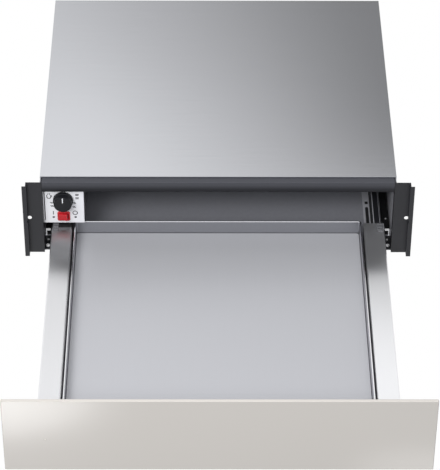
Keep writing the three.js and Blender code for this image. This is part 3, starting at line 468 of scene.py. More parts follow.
for word, side in SIDES:
    low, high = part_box(word + "_side_profile")
    look = word + "_profile_steel"
    brushed(finish(look, POLISHED, PROFILE_ROUGHNESS[word], 0.9, Anisotropic=1.0))
    # painted shade towards the left profile's rear end
    if word == "left":
        painted_shade_towards(LOOKS[look], "Y", PROFILE_SHADE_FROM, high.y, PROFILE_SHADE_SHARE)
    inner, outer = sorted((abs(low.x), abs(high.x)))
    path = profile_path(outer, inner, low.z, high.z, side)
    sheet(word + "_profile_roll", path, PROFILE_SHEET, "y", low.y, high.y, look, "drawer",
          replaced=[word + "_side_profile"], slot="polished_steel")
print("profiles %.0f mm wide" % ((outer - inner) / MM))

# %% [markdown]
# ## Tray
#
# The tray is a shallow pressing with a bead along its rim. Its corners are soft and its floor meets
# the walls in a small radius, where dirt can be wiped out. Here each ring of points runs round the
# whole tray, and the rings climb the outside, cross the bead and go down inside.

# %% Tray
tray_low, tray_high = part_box("tray")
TRAY_SHEET, TRAY_FOOT, RIM, RIM_HEIGHT = 0.9 * MM, 2.5 * MM, 2.4 * MM, 8 * MM
TRAY_CORNER, TRAY_CORNER_LEAST = 5 * MM, 1 * MM
FLOOR_CORNER, FLOOR_EDGE = 4 * MM, 0.6 * MM


def tray_rings():
    """(inset, height) pairs, from the underside round the rim's bead to the floor, each a rounded
    rectangle."""
    floor, top = tray_low.z + TRAY_SHEET, tray_high.z
    wall, bead, foot = RIM - TRAY_SHEET, RIM / 2, TRAY_FOOT
    under = arc((wall + foot, tray_low.z + foot), foot, 270, 180, 5)
    over = arc((bead, top - bead), bead, 180, 0, 10)
    inside = arc((RIM + foot, floor + foot), foot, 180, 270, 6)
    skirt = [(wall, top - RIM_HEIGHT), (0, top - RIM_HEIGHT + wall)]
    steps = np.concatenate([under, skirt, over, inside])
    middle, half = (tray_low + tray_high) / 2, (tray_high - tray_low) / 2
    rings = []
    for inset, height in capped(held(steps)):
        corner = max(TRAY_CORNER - inset, TRAY_CORNER_LEAST)
        flat = rounded(half.x - inset, half.y - inset, corner) + (middle.x, middle.y)
        rings.append(np.column_stack([flat, np.full(len(flat), height)]))
    return rings


tray = loft("tray_pressing", tray_rings(), "tray_steel", "drawer",
            replaced=["tray"], slot="polished_steel")
# the faces near the top get the rim's brighter steel: a painted highlight along the bead
tray.data.materials.append(LOOKS["rim_steel_painted_highlight"])
middles = np.zeros(3 * len(tray.data.polygons))
tray.data.polygons.foreach_get("center", middles)
tray.data.polygons.foreach_set("material_index", (middles[2::3] > tray_high.z - RIM).astype(int))
low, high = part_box("floor_plate")
plate("floor_plate_sheet", low, high, "z", FLOOR_CORNER, FLOOR_EDGE, "satin_plate", "drawer",
      replaced=["floor_plate"])
print("tray %.0f x %.0f mm" % tuple((tray_high - tray_low).to_2d() / MM))

# %% [markdown]
# ## Glass front
#
# The front is a sheet of tempered glass, coloured on its back. Its edge is ground round, so it
# catches light all along the top. A plate with rounded rims is enough; the small light behind it
# shows through a little window.

# %% Glass front
GLASS_CORNER, GLASS_EDGE, LENS_EDGE = 1.5 * MM, 1.1 * MM, 0.5 * MM
low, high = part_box("front_glass")
plate("front_glass_sheet", low, high, "y", GLASS_CORNER, GLASS_EDGE, "greige_glass", "drawer",
      replaced=["front_glass"])
low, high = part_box("indicator_lens")
radius, depth = (high.x - low.x) / 2, high.y - low.y
lens = np.concatenate([[(0, depth), (radius, depth)],
                       arc((radius - LENS_EDGE, LENS_EDGE), LENS_EDGE, 0, -90, 5), [(0, 0)]])
centre = ((low.x + high.x) / 2, low.y, (low.z + high.z) / 2)
lathe("indicator_window", lens, centre, "y", "light_lens", "drawer",
      segments=32, replaced=["indicator_lens"])
print("glass and indicator")

# %% [markdown]
# ## Selector knob
#
# The knob is moulded plastic: a skirt, a grip that tapers forwards and a slightly dished face. It
# is turned from an outline of points and arcs. A white pointer is set into the face from its rim to
# near the middle.

# %% Selector knob
low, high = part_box("selector_knob")
KNOB_PROUD, GRIP, GRIP_TAPER, GRIP_END = 0.4 * MM, 13.75 * MM, 0.2 * MM, 0.7 * MM
DISH = [(0, 0.35 * MM), (0.45 * GRIP, 0.3 * MM), (0.75 * GRIP, 0.12 * MM)]  # radius, depth
FACE_ROUND, STEP_ROUND, SKIRT_ROUND, SKIRT_HEIGHT = 1.6 * MM, 0.4 * MM, 0.9 * MM, 5 * MM
knob_x, knob_z, skirt = (low.x + high.x) / 2, (low.z + high.z) / 2, (high.x - low.x) / 2
face = low.y + KNOB_PROUD
depth = high.y - face
step, foot = depth - SKIRT_HEIGHT, GRIP + GRIP_TAPER
knob_profile = np.concatenate([
    DISH,
    arc((GRIP - FACE_ROUND, FACE_ROUND), FACE_ROUND, -90, 0, 8),
    [(foot, step - GRIP_END)],
    arc((foot + STEP_ROUND, step - STEP_ROUND), STEP_ROUND, 180, 90, 4),
    arc((skirt - SKIRT_ROUND, step + SKIRT_ROUND), SKIRT_ROUND, -90, 0, 6),
    [(skirt, depth), (0, depth)],
])
lathe("selector_knob_turned", knob_profile, (knob_x, face, knob_z), "y", "black_plastic",
      "selector_knob", segments=96, replaced=["selector_knob"])
POINTER_HALF, POINTER_LENGTH, POINTER_FROM_RIM = 0.75 * MM, 9 * MM, 0.7 * MM
POINTER_SUNK, POINTER_EDGE = 0.8 * MM, 0.2 * MM
tip = knob_z + GRIP - POINTER_FROM_RIM
plate("knob_pointer", (knob_x - POINTER_HALF, low.y, tip - POINTER_LENGTH),
      (knob_x + POINTER_HALF, face + POINTER_SUNK, tip), "y", POINTER_HALF, POINTER_EDGE,
      "white_plastic", "selector_knob")
print("knob %.0f mm across" % (2 * skirt / MM))

# %% [markdown]
# ## Rocker switch
#
# The switch has a thin red frame and a red button that tips from side to side. The button's face is
# two slopes that meet in a soft hollow, and all its edges are round. Its surface is a function of
# two parameters: across, the depth follows a smoothed V, and near every edge it falls away on a
# quarter circle.

# %% Rocker button
bezel_low, bezel_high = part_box("rocker_switch")
rocker_z = (bezel_low.z + bezel_high.z) / 2
ROCKER_TILT, ROCKER_PIVOT, ROCKER_HALF = math.radians(7), -235 * MM, (6.4 * MM, 5.8 * MM)
ROCKER_FACE, ROCKER_RISE, ROCKER_BACK = -6.0 * MM, 1.4 * MM, 1.0 * MM
ROCKER_EDGE, ROCKER_SMOOTH, SOFT_ANGLE = 0.9 * MM, 0.02, 50


def quarter_fall(distance, radius):
    """How far a surface has dropped at a distance from its border, when the border is rounded by
    radius: radius (1 - sqrt(1 - (1 - distance / radius)^2)), and 0 further in."""
    return radius * (1 - np.sqrt(1 - (1 - np.clip(distance / radius, 0, 1)) ** 2))


def rocker_points(columns=41, rows=25):
    """Face depth = the hollow middle minus RISE times |x| / half, smoothed, plus the fall within
    EDGE of each side. Then the whole button is turned by its tilt about the pivot."""
    half_x, half_z = ROCKER_HALF
    u, v = np.meshgrid(np.linspace(-1, 1, columns), np.linspace(-1, 1, rows))
    x, z = half_x * np.sin(u * math.pi / 2), half_z * np.sin(v * math.pi / 2)
    slope = ROCKER_RISE * (np.sqrt((x / half_x) ** 2 + ROCKER_SMOOTH) - math.sqrt(ROCKER_SMOOTH))
    fall = quarter_fall(np.minimum(half_x - np.abs(x), half_z - np.abs(z)), ROCKER_EDGE)
    front = np.stack([x, ROCKER_FACE - slope + fall, z], -1)
    back = np.stack([x, np.full_like(x, ROCKER_BACK), z], -1)
    c, s = math.cos(ROCKER_TILT), math.sin(ROCKER_TILT)
    turned = np.stack([front, back]) @ np.array([(c, -s, 0), (s, c, 0), (0, 0, 1)])
    return turned + (knob_x, ROCKER_PIVOT, rocker_z)


def cushion(name, points, look, body, **more):
    """A closed piece from points (2, rows, columns, 3): front and back grids, and quads round their
    borders."""
    _, rows, columns, _ = points.shape
    front = grid_faces(rows, columns, ring=False)
    index = np.arange(rows * columns).reshape(rows, columns)
    border = np.concatenate([index[0, :-1], index[:-1, -1], index[-1, :0:-1], index[:0:-1, 0]])
    after, back = np.roll(border, -1), rows * columns
    wall = np.stack([border, after, after + back, border + back], 1)
    faces = np.concatenate([front, front + back, wall])
    return put(name, points, faces, look, body, flat_angle=SOFT_ANGLE, **more)


cushion("rocker_button_face", rocker_points(), "red_plastic", "rocker_button",
        replaced=["rocker_button"])
print("rocker button")

# %% [markdown]
# The frame and the switch's body behind the plate are one moulding. Rounded rectangles climb the
# body, step out under the frame, roll over its front edge and go down into the well that the button
# sits in.

# %% Rocker frame
FRAME_DEPTH, FRAME_ROUND, FRAME_LIP = 2.4 * MM, 1.1 * MM, 0.4 * MM
FRAME_WALL, FRAME_WELL, FRAME_CORNER = 1.4 * MM, 9 * MM, 2.6 * MM
BODY_INSET, BODY_CORNER = 1 * MM, 1 * MM
fascia_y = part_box("control_fascia")[0].y


def rocker_frame_rings():
    """Each row is (inset from the frame's outline, depth in front of the plate, corner radius)."""
    well, inside = BODY_INSET + FRAME_WALL, FRAME_CORNER - FRAME_ROUND
    outer = arc((FRAME_ROUND, FRAME_DEPTH - FRAME_ROUND), FRAME_ROUND, 180, 90, 6)
    inner = arc((well - FRAME_LIP, FRAME_DEPTH - FRAME_LIP), FRAME_LIP, 90, 0, 4)
    rows = [(BODY_INSET, fascia_y - bezel_high.y, BODY_CORNER), (BODY_INSET, 0, BODY_CORNER)]
    rows += [(0, 0, FRAME_CORNER)]
    rows += [(inset, depth, FRAME_CORNER - inset) for inset, depth in outer]
    rows += [(inset, depth, inside) for inset, depth in inner]
    rows += [(well, FRAME_DEPTH - FRAME_WELL, inside)]
    half_u, half_v = (bezel_high.x - bezel_low.x) / 2, (bezel_high.z - bezel_low.z) / 2
    rings = []
    for inset, depth, corner in rows:
        flat = rounded(half_u - inset, half_v - inset, corner) + (knob_x, rocker_z)
        rings.append(np.insert(flat, 1, fascia_y - depth, axis=1))
    return rings


loft("rocker_frame", rocker_frame_rings(), "red_plastic", "housing", replaced=["rocker_switch"])
print("rocker frame")

# %% [markdown]
# ## Printed signs
#
# Small grey signs are printed on the control plate: a cup on one side of the knob, plates on the
# other, waves below them, and the line and the ring of the switch, each with a dot. They are flat
# shapes, hardly thicker than ink, laid on the plate. Each is an outline that is filled and given a
# little thickness.

# %% Printing helper
INK = 0.06 * MM
signs = []


def print_sign(outlines):
    """Keeps outlines, each (n, 2) in millimetres from the knob's axis, in metres on the plate's
    face."""
    signs.extend(np.asarray(outline, float) * MM + (knob_x, knob_z) for outline in outlines)


def stroke(path, width, closed=False):
    """A line of even width along path: the path pushed out by half the width on both sides, square
    to it."""
    path = np.asarray(path, float)
    along = (np.roll(path, -1, 0) - np.roll(path, 1, 0)) if closed else np.gradient(path, axis=0)
    length = np.linalg.norm(along, axis=1)[:, None]
    side = np.stack([-along[:, 1], along[:, 0]], 1) / length * width / 2
    outer, inner = path + side, path - side
    if not closed:
        return [np.concatenate([outer, inner[::-1]])]
    return [np.stack([outer[i], outer[j], inner[j], inner[i]])
            for i, j in enumerate(np.roll(np.arange(len(path)), -1))]


print("helpers: print_sign, stroke")

# %% [markdown]
# All sizes are millimetres and all places are counted from the knob's axis. The signs are only a
# few pixels high in the photograph, so they are the plain, general ones for such a switch.

# %% The signs
def wave(centre, length, height, waves=2):
    """y = height/2 sin(2 pi waves t) along a short line."""
    t = np.linspace(-0.5, 0.5, 25)
    rise = height / 2 * np.sin(2 * math.pi * waves * t)
    return np.stack([centre[0] + length * t, centre[1] + rise], 1)


CUP, CUP_RADIUS, CUP_RIM, CUP_LINE = np.array((-21.6, 4.4)), 3.1, 3.4, 1.3
HANDLE, HANDLE_RADIUS, HANDLE_LINE = (3.6, 1.4), 1.1, 0.8
STEAM, STEAM_SIZE, STEAM_LINE = ((-1.3, 5.2), (1.3, 5.2)), (3.4, 0.9), 0.9
PLATES, PLATE_PAIRS = np.array((21.3, 4.8)), (3.2, -3.2)
PLATE_LINES = ((5.4, 1.5, 0.9), (4.8, 1.3, -1.1))  # width, thickness, height in its pair
MARKS = ((-17.8, -7.1), (-17.2, -13.5), (17.0, -7.6), (16.4, -15.4))
MARK_SIZE, MARK_LINE = (4.4, 2.0), 1.1
LINE_SIGN, LINE_HALF, SWITCH_LINE = (-15.8, -26.6), 3.4, 1.2
RING_SIGN, RING_RADIUS = (17.5, -26.8), 3.5
DOTS, DOT_RADIUS, ROUND = ((-15.6, -35.1), (18.0, -35.0)), 1.8, (0, 345, 23)
bowl = arc((0, 0), CUP_RADIUS, 180, 360, 14)
bowl = np.concatenate([[(-CUP_RADIUS, CUP_RIM)], bowl, [(CUP_RADIUS, CUP_RIM)]])
print_sign(stroke(bowl + CUP, CUP_LINE))
print_sign(stroke(arc(CUP + HANDLE, HANDLE_RADIUS, -90, 90, 8), HANDLE_LINE))
for place in STEAM:
    print_sign(stroke(wave((0, 0), *STEAM_SIZE, 1)[:, ::-1] + CUP + place, STEAM_LINE))
for pair in PLATE_PAIRS:
    for width, thickness, lift in PLATE_LINES:
        ends = np.array([(-width / 2, pair + lift), (width / 2, pair + lift)])
        print_sign(stroke(ends + PLATES, thickness))
for mark in MARKS:
    print_sign(stroke(wave(mark, *MARK_SIZE), MARK_LINE))
line = np.array([(0, LINE_HALF), (0, -LINE_HALF)])
print_sign(stroke(line + LINE_SIGN, SWITCH_LINE))
print_sign(stroke(arc(RING_SIGN, RING_RADIUS, *ROUND), SWITCH_LINE, closed=True))
print_sign([arc(dot, DOT_RADIUS, *ROUND) for dot in DOTS])


def sign_mesh():
    """All outlines as prisms in one mesh: front ring, back ring, walls and two caps each."""
    points, faces = [], []
    for outline in signs:
        n, first = len(outline), sum(len(part) for part in points)
        front = np.column_stack([outline[:, 0], np.full(n, fascia_y - INK), outline[:, 1]])
        points.append(np.concatenate([front, front + (0, INK, 0)]))
        i = np.arange(n)
        faces += (np.stack([i, (i + 1) % n, (i + 1) % n + n, i + n], 1) + first).tolist()
        for triangle in tessellate_polygon([[Vector((*uv, 0)) for uv in outline.tolist()]]):
            faces += [[first + k for k in triangle], [first + n + k for k in triangle]]
    return np.concatenate(points), faces


put("printed_signs", *sign_mesh(), "print_grey", "housing", slot="grey_plastic")
print(len(signs), "printed strokes")

# %% [markdown]
# ## Screws and rivets
#
# The screws in the floor have a domed head with a cross, the rivets beside them a plain one. The
# surface is a grid in polar coordinates: the height is a dome, minus the depth of the cross where
# the point lies in one of its two slots.

# %% Screw and rivet heads
HEAD_RIM, HEAD_BULGE, HEAD_GRID = 0.35, 0.96, (22, 72)
# half the width and length of the cross in radii, its depth in heights, and how steep its sides are
CROSS_WIDTH, CROSS_LENGTH, CROSS_DEPTH, CROSS_SLOPE = 0.13, 0.62, 0.45, 4


def domed_head(name, node, cross):
    """Height = RIM + (1 - RIM) sqrt(1 - BULGE (r / radius)^2), minus a cross with sloped sides. The
    rim goes straight down to the seat."""
    low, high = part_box(node)
    centre, radius, height = (low + high) / 2, (high.x - low.x) / 2, high.z - low.z
    steps, turns = HEAD_GRID
    turn = np.linspace(0, 2 * math.pi, turns, endpoint=False)
    r, a = np.meshgrid(radius * np.linspace(0, 1, steps), turn, indexing="ij")
    x, y = r * np.cos(a), r * np.sin(a)
    dome = np.sqrt(np.maximum(1 - HEAD_BULGE * (r / radius) ** 2, 0))
    rise = height * (HEAD_RIM + (1 - HEAD_RIM) * dome)
    if cross:
        arm = np.minimum.reduce([np.maximum(np.abs(p) / CROSS_WIDTH, np.abs(q) / CROSS_LENGTH)
                                 for p, q in ((x, y), (y, x))])
        rise -= CROSS_DEPTH * height * np.clip((radius - arm) / radius * CROSS_SLOPE, 0, 1)
    top = np.stack([centre.x + x, centre.y + y, low.z + rise], -1)
    foot = top[-1:].copy()
    foot[..., 2] = low.z
    seat = np.broadcast_to((centre.x, centre.y, low.z), foot.shape)
    rings = np.concatenate([top, foot, seat])
    put(name, rings, grid_faces(len(rings), turns), "bright_zinc", "housing",
        replaced=[node], flat_angle=40, slot="runner_steel")


for word, _ in SIDES:
    domed_head(word + "_screw_head", word + "_base_screw", cross=True)
    domed_head(word + "_rivet_head", word + "_base_rivet", cross=False)
print("four heads")

# %% [markdown]
# ## Catches
#
# A small plastic catch sits on the rear outer corner of each profile, with three round ribs across
# it for the thumb. It could be three cylinders joined to a plate. One height function does it in a
# single skin: a wave along the catch, of which only the crests count, and a quarter circle that
# lets the border fall away.

# %% Catches
CATCH_PAD, CATCH_RIBS, CATCH_ROUND = 0.8 * MM, 3, 0.5 * MM


def catch_points(low, high, columns=13, rows=73):
    """Height = PAD plus the rest times the root of the positive part of -cos(2 pi RIBS v), less the
    fall within ROUND of the border."""
    u, v = np.meshgrid(np.linspace(0, math.pi, columns), np.linspace(0, 1, rows))
    x, y = low.x + (high.x - low.x) * (0.5 - 0.5 * np.cos(u)), low.y + (high.y - low.y) * v
    crest = np.sqrt(np.maximum(-np.cos(2 * math.pi * CATCH_RIBS * v), 0))
    border = np.minimum.reduce([x - low.x, high.x - x, y - low.y, high.y - y])
    pad = low.z + CATCH_PAD
    rise = pad + (high.z - pad) * crest - quarter_fall(border, CATCH_ROUND)
    return np.stack([np.stack([x, y, height], -1) for height in (rise, np.full_like(x, low.z))])


for word, _ in SIDES:
    node = word + "_profile_catch"
    cushion(word + "_catch_ribs", catch_points(*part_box(node)), "catch_grey", "drawer",
            replaced=[node], slot="grey_plastic")
print("two catches")

# %% [markdown]
# ## Runner shade and highlight
#
# Painted shade: black plates lie where the runner's corner is in shade. One lies under the runner
# bracket and shows through its holes, one covers the side of its web, and one covers the floor from
# the rail to the side wall. A grey strip along the black rail's top edge is a painted highlight.
# Four thin plates a side are enough, and a small rivet sits on the floor's plate.

# %% Runner trim
WEB_SHEET, SHEET, WEB_SHADE, STRIP, HIGHLIGHT_HALF = 1.2 * MM, 1 * MM, 0.3 * MM, 0.15 * MM, 0.1 * MM
STRIP_FROM_WEB, STRIP_WIDTH, END_GAP = 1.6 * MM, 6 * MM, 3 * MM
HIGHLIGHT_INSET, HIGHLIGHT_WIDTH = 0.8 * MM, 0.8 * MM
TRIM_CORNER, TRIM_EDGE = 0.05 * MM, 0.03 * MM
FLOOR_SHADE, FLOOR_SHADE_FRONT, FLOOR_RIVET = 0.3 * MM, -204 * MM, (264 * MM, -165 * MM)
FLOOR_RIVET_RADIUS, FLOOR_RIVET_FLAT = 1.7 * MM, (1, 0.7)
floor_rivet = arc((0, 0), FLOOR_RIVET_RADIUS, 10, 90, 8) * FLOOR_RIVET_FLAT
floor_rivet = np.concatenate([[(0, 0), (FLOOR_RIVET_RADIUS, 0)], floor_rivet])


def side_plate(name, side, near, far, y_ends, z_ends, look):
    """A thin plate between two distances from the middle, on the side named by side."""
    (y0, y1), (z0, z1) = y_ends, z_ends
    x0, x1 = sorted((side * near, side * far))
    axis = "x" if far - near < z1 - z0 else "z"
    plate(name, (x0, y0, z0), (x1, y1, z1), axis, TRIM_CORNER, TRIM_EDGE, look, "housing")


for word, side in SIDES:
    low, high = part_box(word + "_runner_bracket")
    web = max(abs(low.x), abs(high.x)) - WEB_SHEET
    ends = (low.y + END_GAP, high.y - END_GAP)
    # painted shade on the side of the web
    side_plate(word + "_web_shade", side, web - WEB_SHADE, web, ends,
               (low.z + WEB_SHEET + WEB_SHADE, high.z - WEB_SHADE), "rubber")
    strip = web - STRIP_FROM_WEB
    # painted shade under the bracket, seen through its holes
    side_plate(word + "_slot_shade", side, strip - STRIP_WIDTH, strip, ends,
               (low.z, low.z + STRIP), "rubber")
    low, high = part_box(word + "_fixed_rail")
    edge, ends = max(abs(low.x), abs(high.x)) - HIGHLIGHT_INSET, (low.y + END_GAP, high.y - END_GAP)
    # painted highlight along the rail's top edge
    side_plate(word + "_edge_highlight", side, edge - HIGHLIGHT_WIDTH, edge, ends,
               (high.z - HIGHLIGHT_HALF, high.z + HIGHLIGHT_HALF), "runner_steel")
    wall_low, wall_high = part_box(word + "_side_wall")
    wall, flange = max(abs(wall_low.x), abs(wall_high.x)) - SHEET, wall_low.z + SHEET
    # painted shade on the floor beside the rail
    side_plate(word + "_floor_shade", side, edge + HIGHLIGHT_INSET, wall,
               (FLOOR_SHADE_FRONT, wall_high.y - END_GAP), (flange, flange + FLOOR_SHADE), "rubber")
    seat = (side * FLOOR_RIVET[0], FLOOR_RIVET[1], flange + FLOOR_SHADE)
    lathe(word + "_floor_rivet", floor_rivet, seat, "z", "bright_zinc", "housing",
          segments=24, slot="runner_steel")
print("shade plates and edge highlights")

# %% [markdown]
# ## Latch spring
#
# Behind the latch's plunger sits a small spring of drawn wire. A curve with a round bevel would do,
# but rings of points worked out along a helix give closed ends and an exact length. When the
# plunger goes in, the spring gets shorter against the latch's back wall.

# %% Latch spring
WIRE, SPRING_TURNS, SPRING_KEEP = 0.4 * MM, 5, 0.5
spring_low, spring_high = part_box("latch_spring")


def helix_rings(steps=200, sides=10):
    """Centre line: radius times (cos a, sin a) round the axis, with Y growing evenly. Each ring is
    a circle of radius WIRE, square to that line."""
    a = np.linspace(0, 2 * math.pi * SPRING_TURNS, steps)
    turn = np.linspace(0, 2 * math.pi, sides, endpoint=False)[:, None]
    middle, radius = (spring_low + spring_high) / 2, (spring_high.x - spring_low.x) / 2 - WIRE
    outwards = np.stack([np.cos(a), np.zeros(steps), np.sin(a)], 1)
    line = np.array(middle) + radius * outwards
    line[:, 1] = np.linspace(spring_low.y + WIRE, spring_high.y - WIRE, steps)
    along = np.gradient(line, axis=0)
    across = np.cross(along / np.linalg.norm(along, axis=1)[:, None], outwards)
    ring = np.cos(turn) * outwards[:, None] + np.sin(turn) * across[:, None]
    return line[:, None] + WIRE * ring


spring = loft("latch_spring_wire", helix_rings(), "spring_steel", "housing",
              replaced=["latch_spring"])
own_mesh(spring)
print("spring %.1f mm long" % ((spring_high.y - spring_low.y) / MM))

# %% [markdown]
# ## Mains box
#
# Behind the rear wall a shallow box takes the mains lead. Its lid is a plate with soft rims, so the
# plate helper does it.

# %% Mains box lid
LID_CORNER, LID_EDGE = 3 * MM, 0.5 * MM
low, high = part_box("terminal_cover")
plate("terminal_lid", low, high, "y", LID_CORNER, LID_EDGE, "galvanised_steel", "housing",
      replaced=["terminal_cover"])
print("lid %.0f mm wide" % ((high.x - low.x) / MM))

# %% [markdown]
# ## Camera
#
# The photograph was measured: the straight edges of the front, the side profiles, the top cover and
# the brackets fix where it was taken from. It stands 2.3 m up and 3 m in front and looks 39.2
# degrees down through a long lens, turned half a degree to the right and tipped by less.

# %% Camera
LONG_SIDE_PX, SENSOR, FOCAL_PX = 470, 36.0, 2339.19
DOWN, YAW, ROLL = (math.radians(angle) for angle in (39.2486, -0.5128, 0.3812))
PLACE, CLIP = (-0.021864, -3.03173, 2.31102), (0.1, 100)
camera_data = bpy.data.cameras.new("camera")
camera = bpy.data.objects.new("camera", camera_data)
bpy.context.scene.collection.objects.link(camera)
camera_data.sensor_width, camera_data.sensor_fit = SENSOR, "AUTO"
camera_data.lens = FOCAL_PX * SENSOR / LONG_SIDE_PX
yaw, tilt, roll = (Matrix.Rotation(angle, 3, axis)
                   for angle, axis in ((YAW, "Z"), (math.pi / 2 - DOWN, "X"), (ROLL, "Z")))
camera.location = PLACE
camera.rotation_euler = (yaw @ tilt @ roll).to_euler()
camera_data.clip_start, camera_data.clip_end = CLIP
bpy.context.scene.camera = camera
print("lens %.1f mm" % camera_data.lens)

# %% [markdown]
# ## Light
#
# A product is shot inside white walls. The world is that room: plain white behind the object and in
# mirrors, and a little softer as a light. Steel only looks like steel when it has something to
# reflect, so large cards stand round the set: they show in reflections and nowhere else.

# %% World
SKY, SKY_LEVEL = (0.97, 0.98, 1.0, 1.0), 0.32


def math_node(nodes, links, operation, *values):
    """The result of a Math node. Each value is a number or the output that feeds it."""
    node = nodes.new("ShaderNodeMath")
    node.operation = operation
    for socket, value in zip(node.inputs, values):
        if isinstance(value, (int, float)):
            socket.default_value = value
        else:
            links.new(value, socket)
    return node.outputs[0]


def world_light(level):
    """White for camera, glossy and transmission rays, and level for light on surfaces."""
    world = bpy.data.worlds.new("studio")
    bpy.context.scene.world = world
    world.use_nodes = True
    nodes, links = world.node_tree.nodes, world.node_tree.links
    light, seen = nodes["Background"], nodes.new("ShaderNodeBackground")
    light.inputs["Color"].default_value = SKY
    light.inputs["Strength"].default_value = level
    seen.inputs["Color"].default_value = (1, 1, 1, 1)
    ray, mix = nodes.new("ShaderNodeLightPath").outputs, nodes.new("ShaderNodeMixShader")
    either = math_node(nodes, links, "MAXIMUM", ray["Is Camera Ray"], ray["Is Glossy Ray"])
    any_of = math_node(nodes, links, "MAXIMUM", either, ray["Is Transmission Ray"])
    links.new(any_of, mix.inputs[0])
    links.new(light.outputs[0], mix.inputs[1])
    links.new(seen.outputs[0], mix.inputs[2])
    links.new(mix.outputs[0], nodes["World Output"].inputs["Surface"])


world_light(SKY_LEVEL)
bpy.context.scene.view_settings.view_transform = "Standard"
print("world at", SKY_LEVEL)

# %% [markdown]
# A card is one flat face whose cover and light come from curves over its own UV square, so a
# mirrored edge can be as soft or as sharp as in the photograph. Two dark walls stand behind the
# housing and one dark card at each side. Two round glows lie low in front, for the glass, and four
# soft lamps light the paint, plastic and zinc.

# %% Card helpers
def card(name, centre, across, up, emission):
    """A flat card from its centre and two half-edges. emission builds its light from the card's own
    nodes."""
    c, a, u = (np.array(v, float) for v in (centre, across, up))
    mesh = bpy.data.meshes.new(name)
    mesh.from_pydata([c - a - u, c + a - u, c + a + u, c - a + u], [], [(0, 1, 2, 3)])
    mesh.uv_layers.new(name="UVMap").data.foreach_set("uv", [0, 0, 1, 0, 1, 1, 0, 1])
    made = bpy.data.objects.new(name, mesh)
    bpy.context.scene.collection.objects.link(made)
    look = bpy.data.materials.new(name)
    look.use_nodes = True
    nodes, links = look.node_tree.nodes, look.node_tree.links
    nodes.remove(nodes["Principled BSDF"])
    light, clear, mix, uv = (nodes.new("ShaderNode" + kind)
                             for kind in ("Emission", "BsdfTransparent", "MixShader", "UVMap"))
    strength, cover = emission(nodes, links, uv.outputs["UV"])
    links.new(strength, light.inputs["Strength"])
    links.new(cover, mix.inputs[0])
    links.new(clear.outputs[0], mix.inputs[1])
    links.new(light.outputs[0], mix.inputs[2])
    links.new(mix.outputs[0], nodes["Material Output"].inputs["Surface"])
    mesh.materials.append(look)
    made.visible_camera = made.visible_diffuse = False
    made.visible_shadow = made.visible_transmission = False


def ramp_node(nodes, links, value, stops):
    """A smooth curve through (place, level) stops."""
    ramp = nodes.new("ShaderNodeFloatCurve")
    curve = ramp.mapping.curves[0]
    top = max(level for _, level in stops)
    while len(curve.points) < len(stops):
        curve.points.new(0.5, 0.5)
    for point, (place, level) in zip(curve.points, stops):
        point.location = (place, level / top)
        point.handle_type = "AUTO"
    ramp.mapping.update()
    links.new(value, ramp.inputs["Value"])
    return math_node(nodes, links, "MULTIPLY", ramp.outputs[0], float(top))


def dark_wall(across_stops, up_stops, cover, level):
    """For card: level light, covered by the product of two curves, one across it and one up it."""
    def build(nodes, links, uv):
        split = nodes.new("ShaderNodeSeparateXYZ")
        links.new(uv, split.inputs[0])
        across = ramp_node(nodes, links, split.outputs["X"], across_stops)
        upwards = ramp_node(nodes, links, split.outputs["Y"], up_stops)
        both = math_node(nodes, links, "MULTIPLY", across, upwards)
        strength = math_node(nodes, links, "ADD", 0.0, level)
        return strength, math_node(nodes, links, "MULTIPLY", both, cover)
    return build


def glow(level):
    """For card: a round light of strength level that fades to nothing at the card's edge."""
    def build(nodes, links, uv):
        far = nodes.new("ShaderNodeVectorMath")
        far.operation = "DISTANCE"
        far.inputs[1].default_value = (0.5, 0.5, 0)
        links.new(uv, far.inputs[0])
        fade = ramp_node(nodes, links, far.outputs["Value"], GLOW_FADE)
        return math_node(nodes, links, "ADD", 0.0, level), fade
    return build


print("helpers: card, dark_wall, glow")

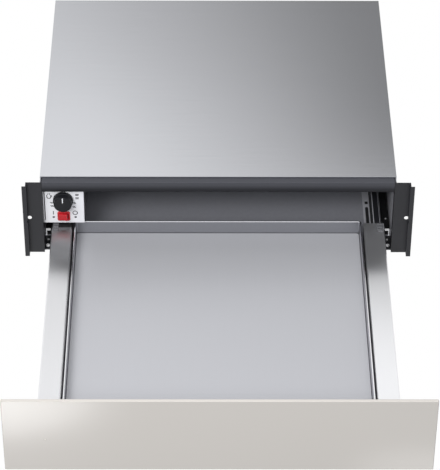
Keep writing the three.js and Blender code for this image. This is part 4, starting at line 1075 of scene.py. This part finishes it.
# %% Cards and lamps
# curves: (place from 0 to 1, level) points, first across the card, then up it
GLOW_FADE = [(0, 1), (0.25, 0.62), (0.5, 0.0), (1, 0)]
WALL_ACROSS = [(0, 0), (0.2, 0.2), (0.35, 1), (0.65, 1), (0.8, 0.2), (1, 0)]
WALL_UP = [(0, 1), (0.7, 1), (0.9, 0.12), (1, 0)]
EDGE_ACROSS = [(0, 0), (0.08, 0.26), (0.165, 0.54), (0.247, 0.84),
               (0.32, 1), (0.44, 1), (0.6, 0.08), (1, 0)]
EDGE_UP = [(0, 0.76), (0.7, 0.78), (0.87, 0.97), (0.92, 0.88), (0.955, 0.74), (0.975, 0.16), (1, 0)]
EVEN = [(0, 1), (1, 1)]
card("wall_card", (0.1, 0.85, 0.2), (1.6, 0, 0), (0, 0, 0.85),
     dark_wall(WALL_ACROSS, WALL_UP, 0.26, 0.03))
card("wall_right", (0.60, 0.84, 0.2), (1.1, 0, 0), (0.40, 0, 0.99),
     dark_wall(EDGE_ACROSS, EDGE_UP, 0.86, 0.03))
for word, side in SIDES:
    card("side_card_" + word, (side * 1.5, -0.6, -0.45), (0, 1.2, 0), (0, 0, 0.75),
         dark_wall(EVEN, EVEN, 1.0, 0.2))
card("glow_left", (-0.47, -1.92, -1.0), (0.32, 0, 0), (0, 0.15, 0), glow(6.5))
card("glow_right", (0.42, -1.73, -1.0), (0.20, 0, 0), (0, 0.08, 0), glow(2.6))


def lamp(name, place, target, size, watts):
    """A round area lamp at place that points at target and isn't seen in reflections."""
    data = bpy.data.lights.new(name, "AREA")
    data.shape, data.size, data.energy = "DISK", size, watts
    made = bpy.data.objects.new(name, data)
    made.location = place
    made.rotation_euler = (Vector(target) - Vector(place)).to_track_quat("-Z", "Y").to_euler()
    bpy.context.scene.collection.objects.link(made)
    made.visible_glossy = False


lamp("lamp_key", (-1.6, -1.8, 2.6), (0, -0.3, 0), 1.6, 32)
lamp("lamp_left", (-1.15, -3.0, 2.5), (0, -0.25, 0.05), 1.2, 62)
lamp("lamp_front", (0, -3.1, 2.5), (0, -0.25, 0.05), 1.0, 28)
lamp("lamp_sky", (0, -0.4, 3.4), (0, -0.4, 0), 3.0, 28)
print("six cards and four lamps")
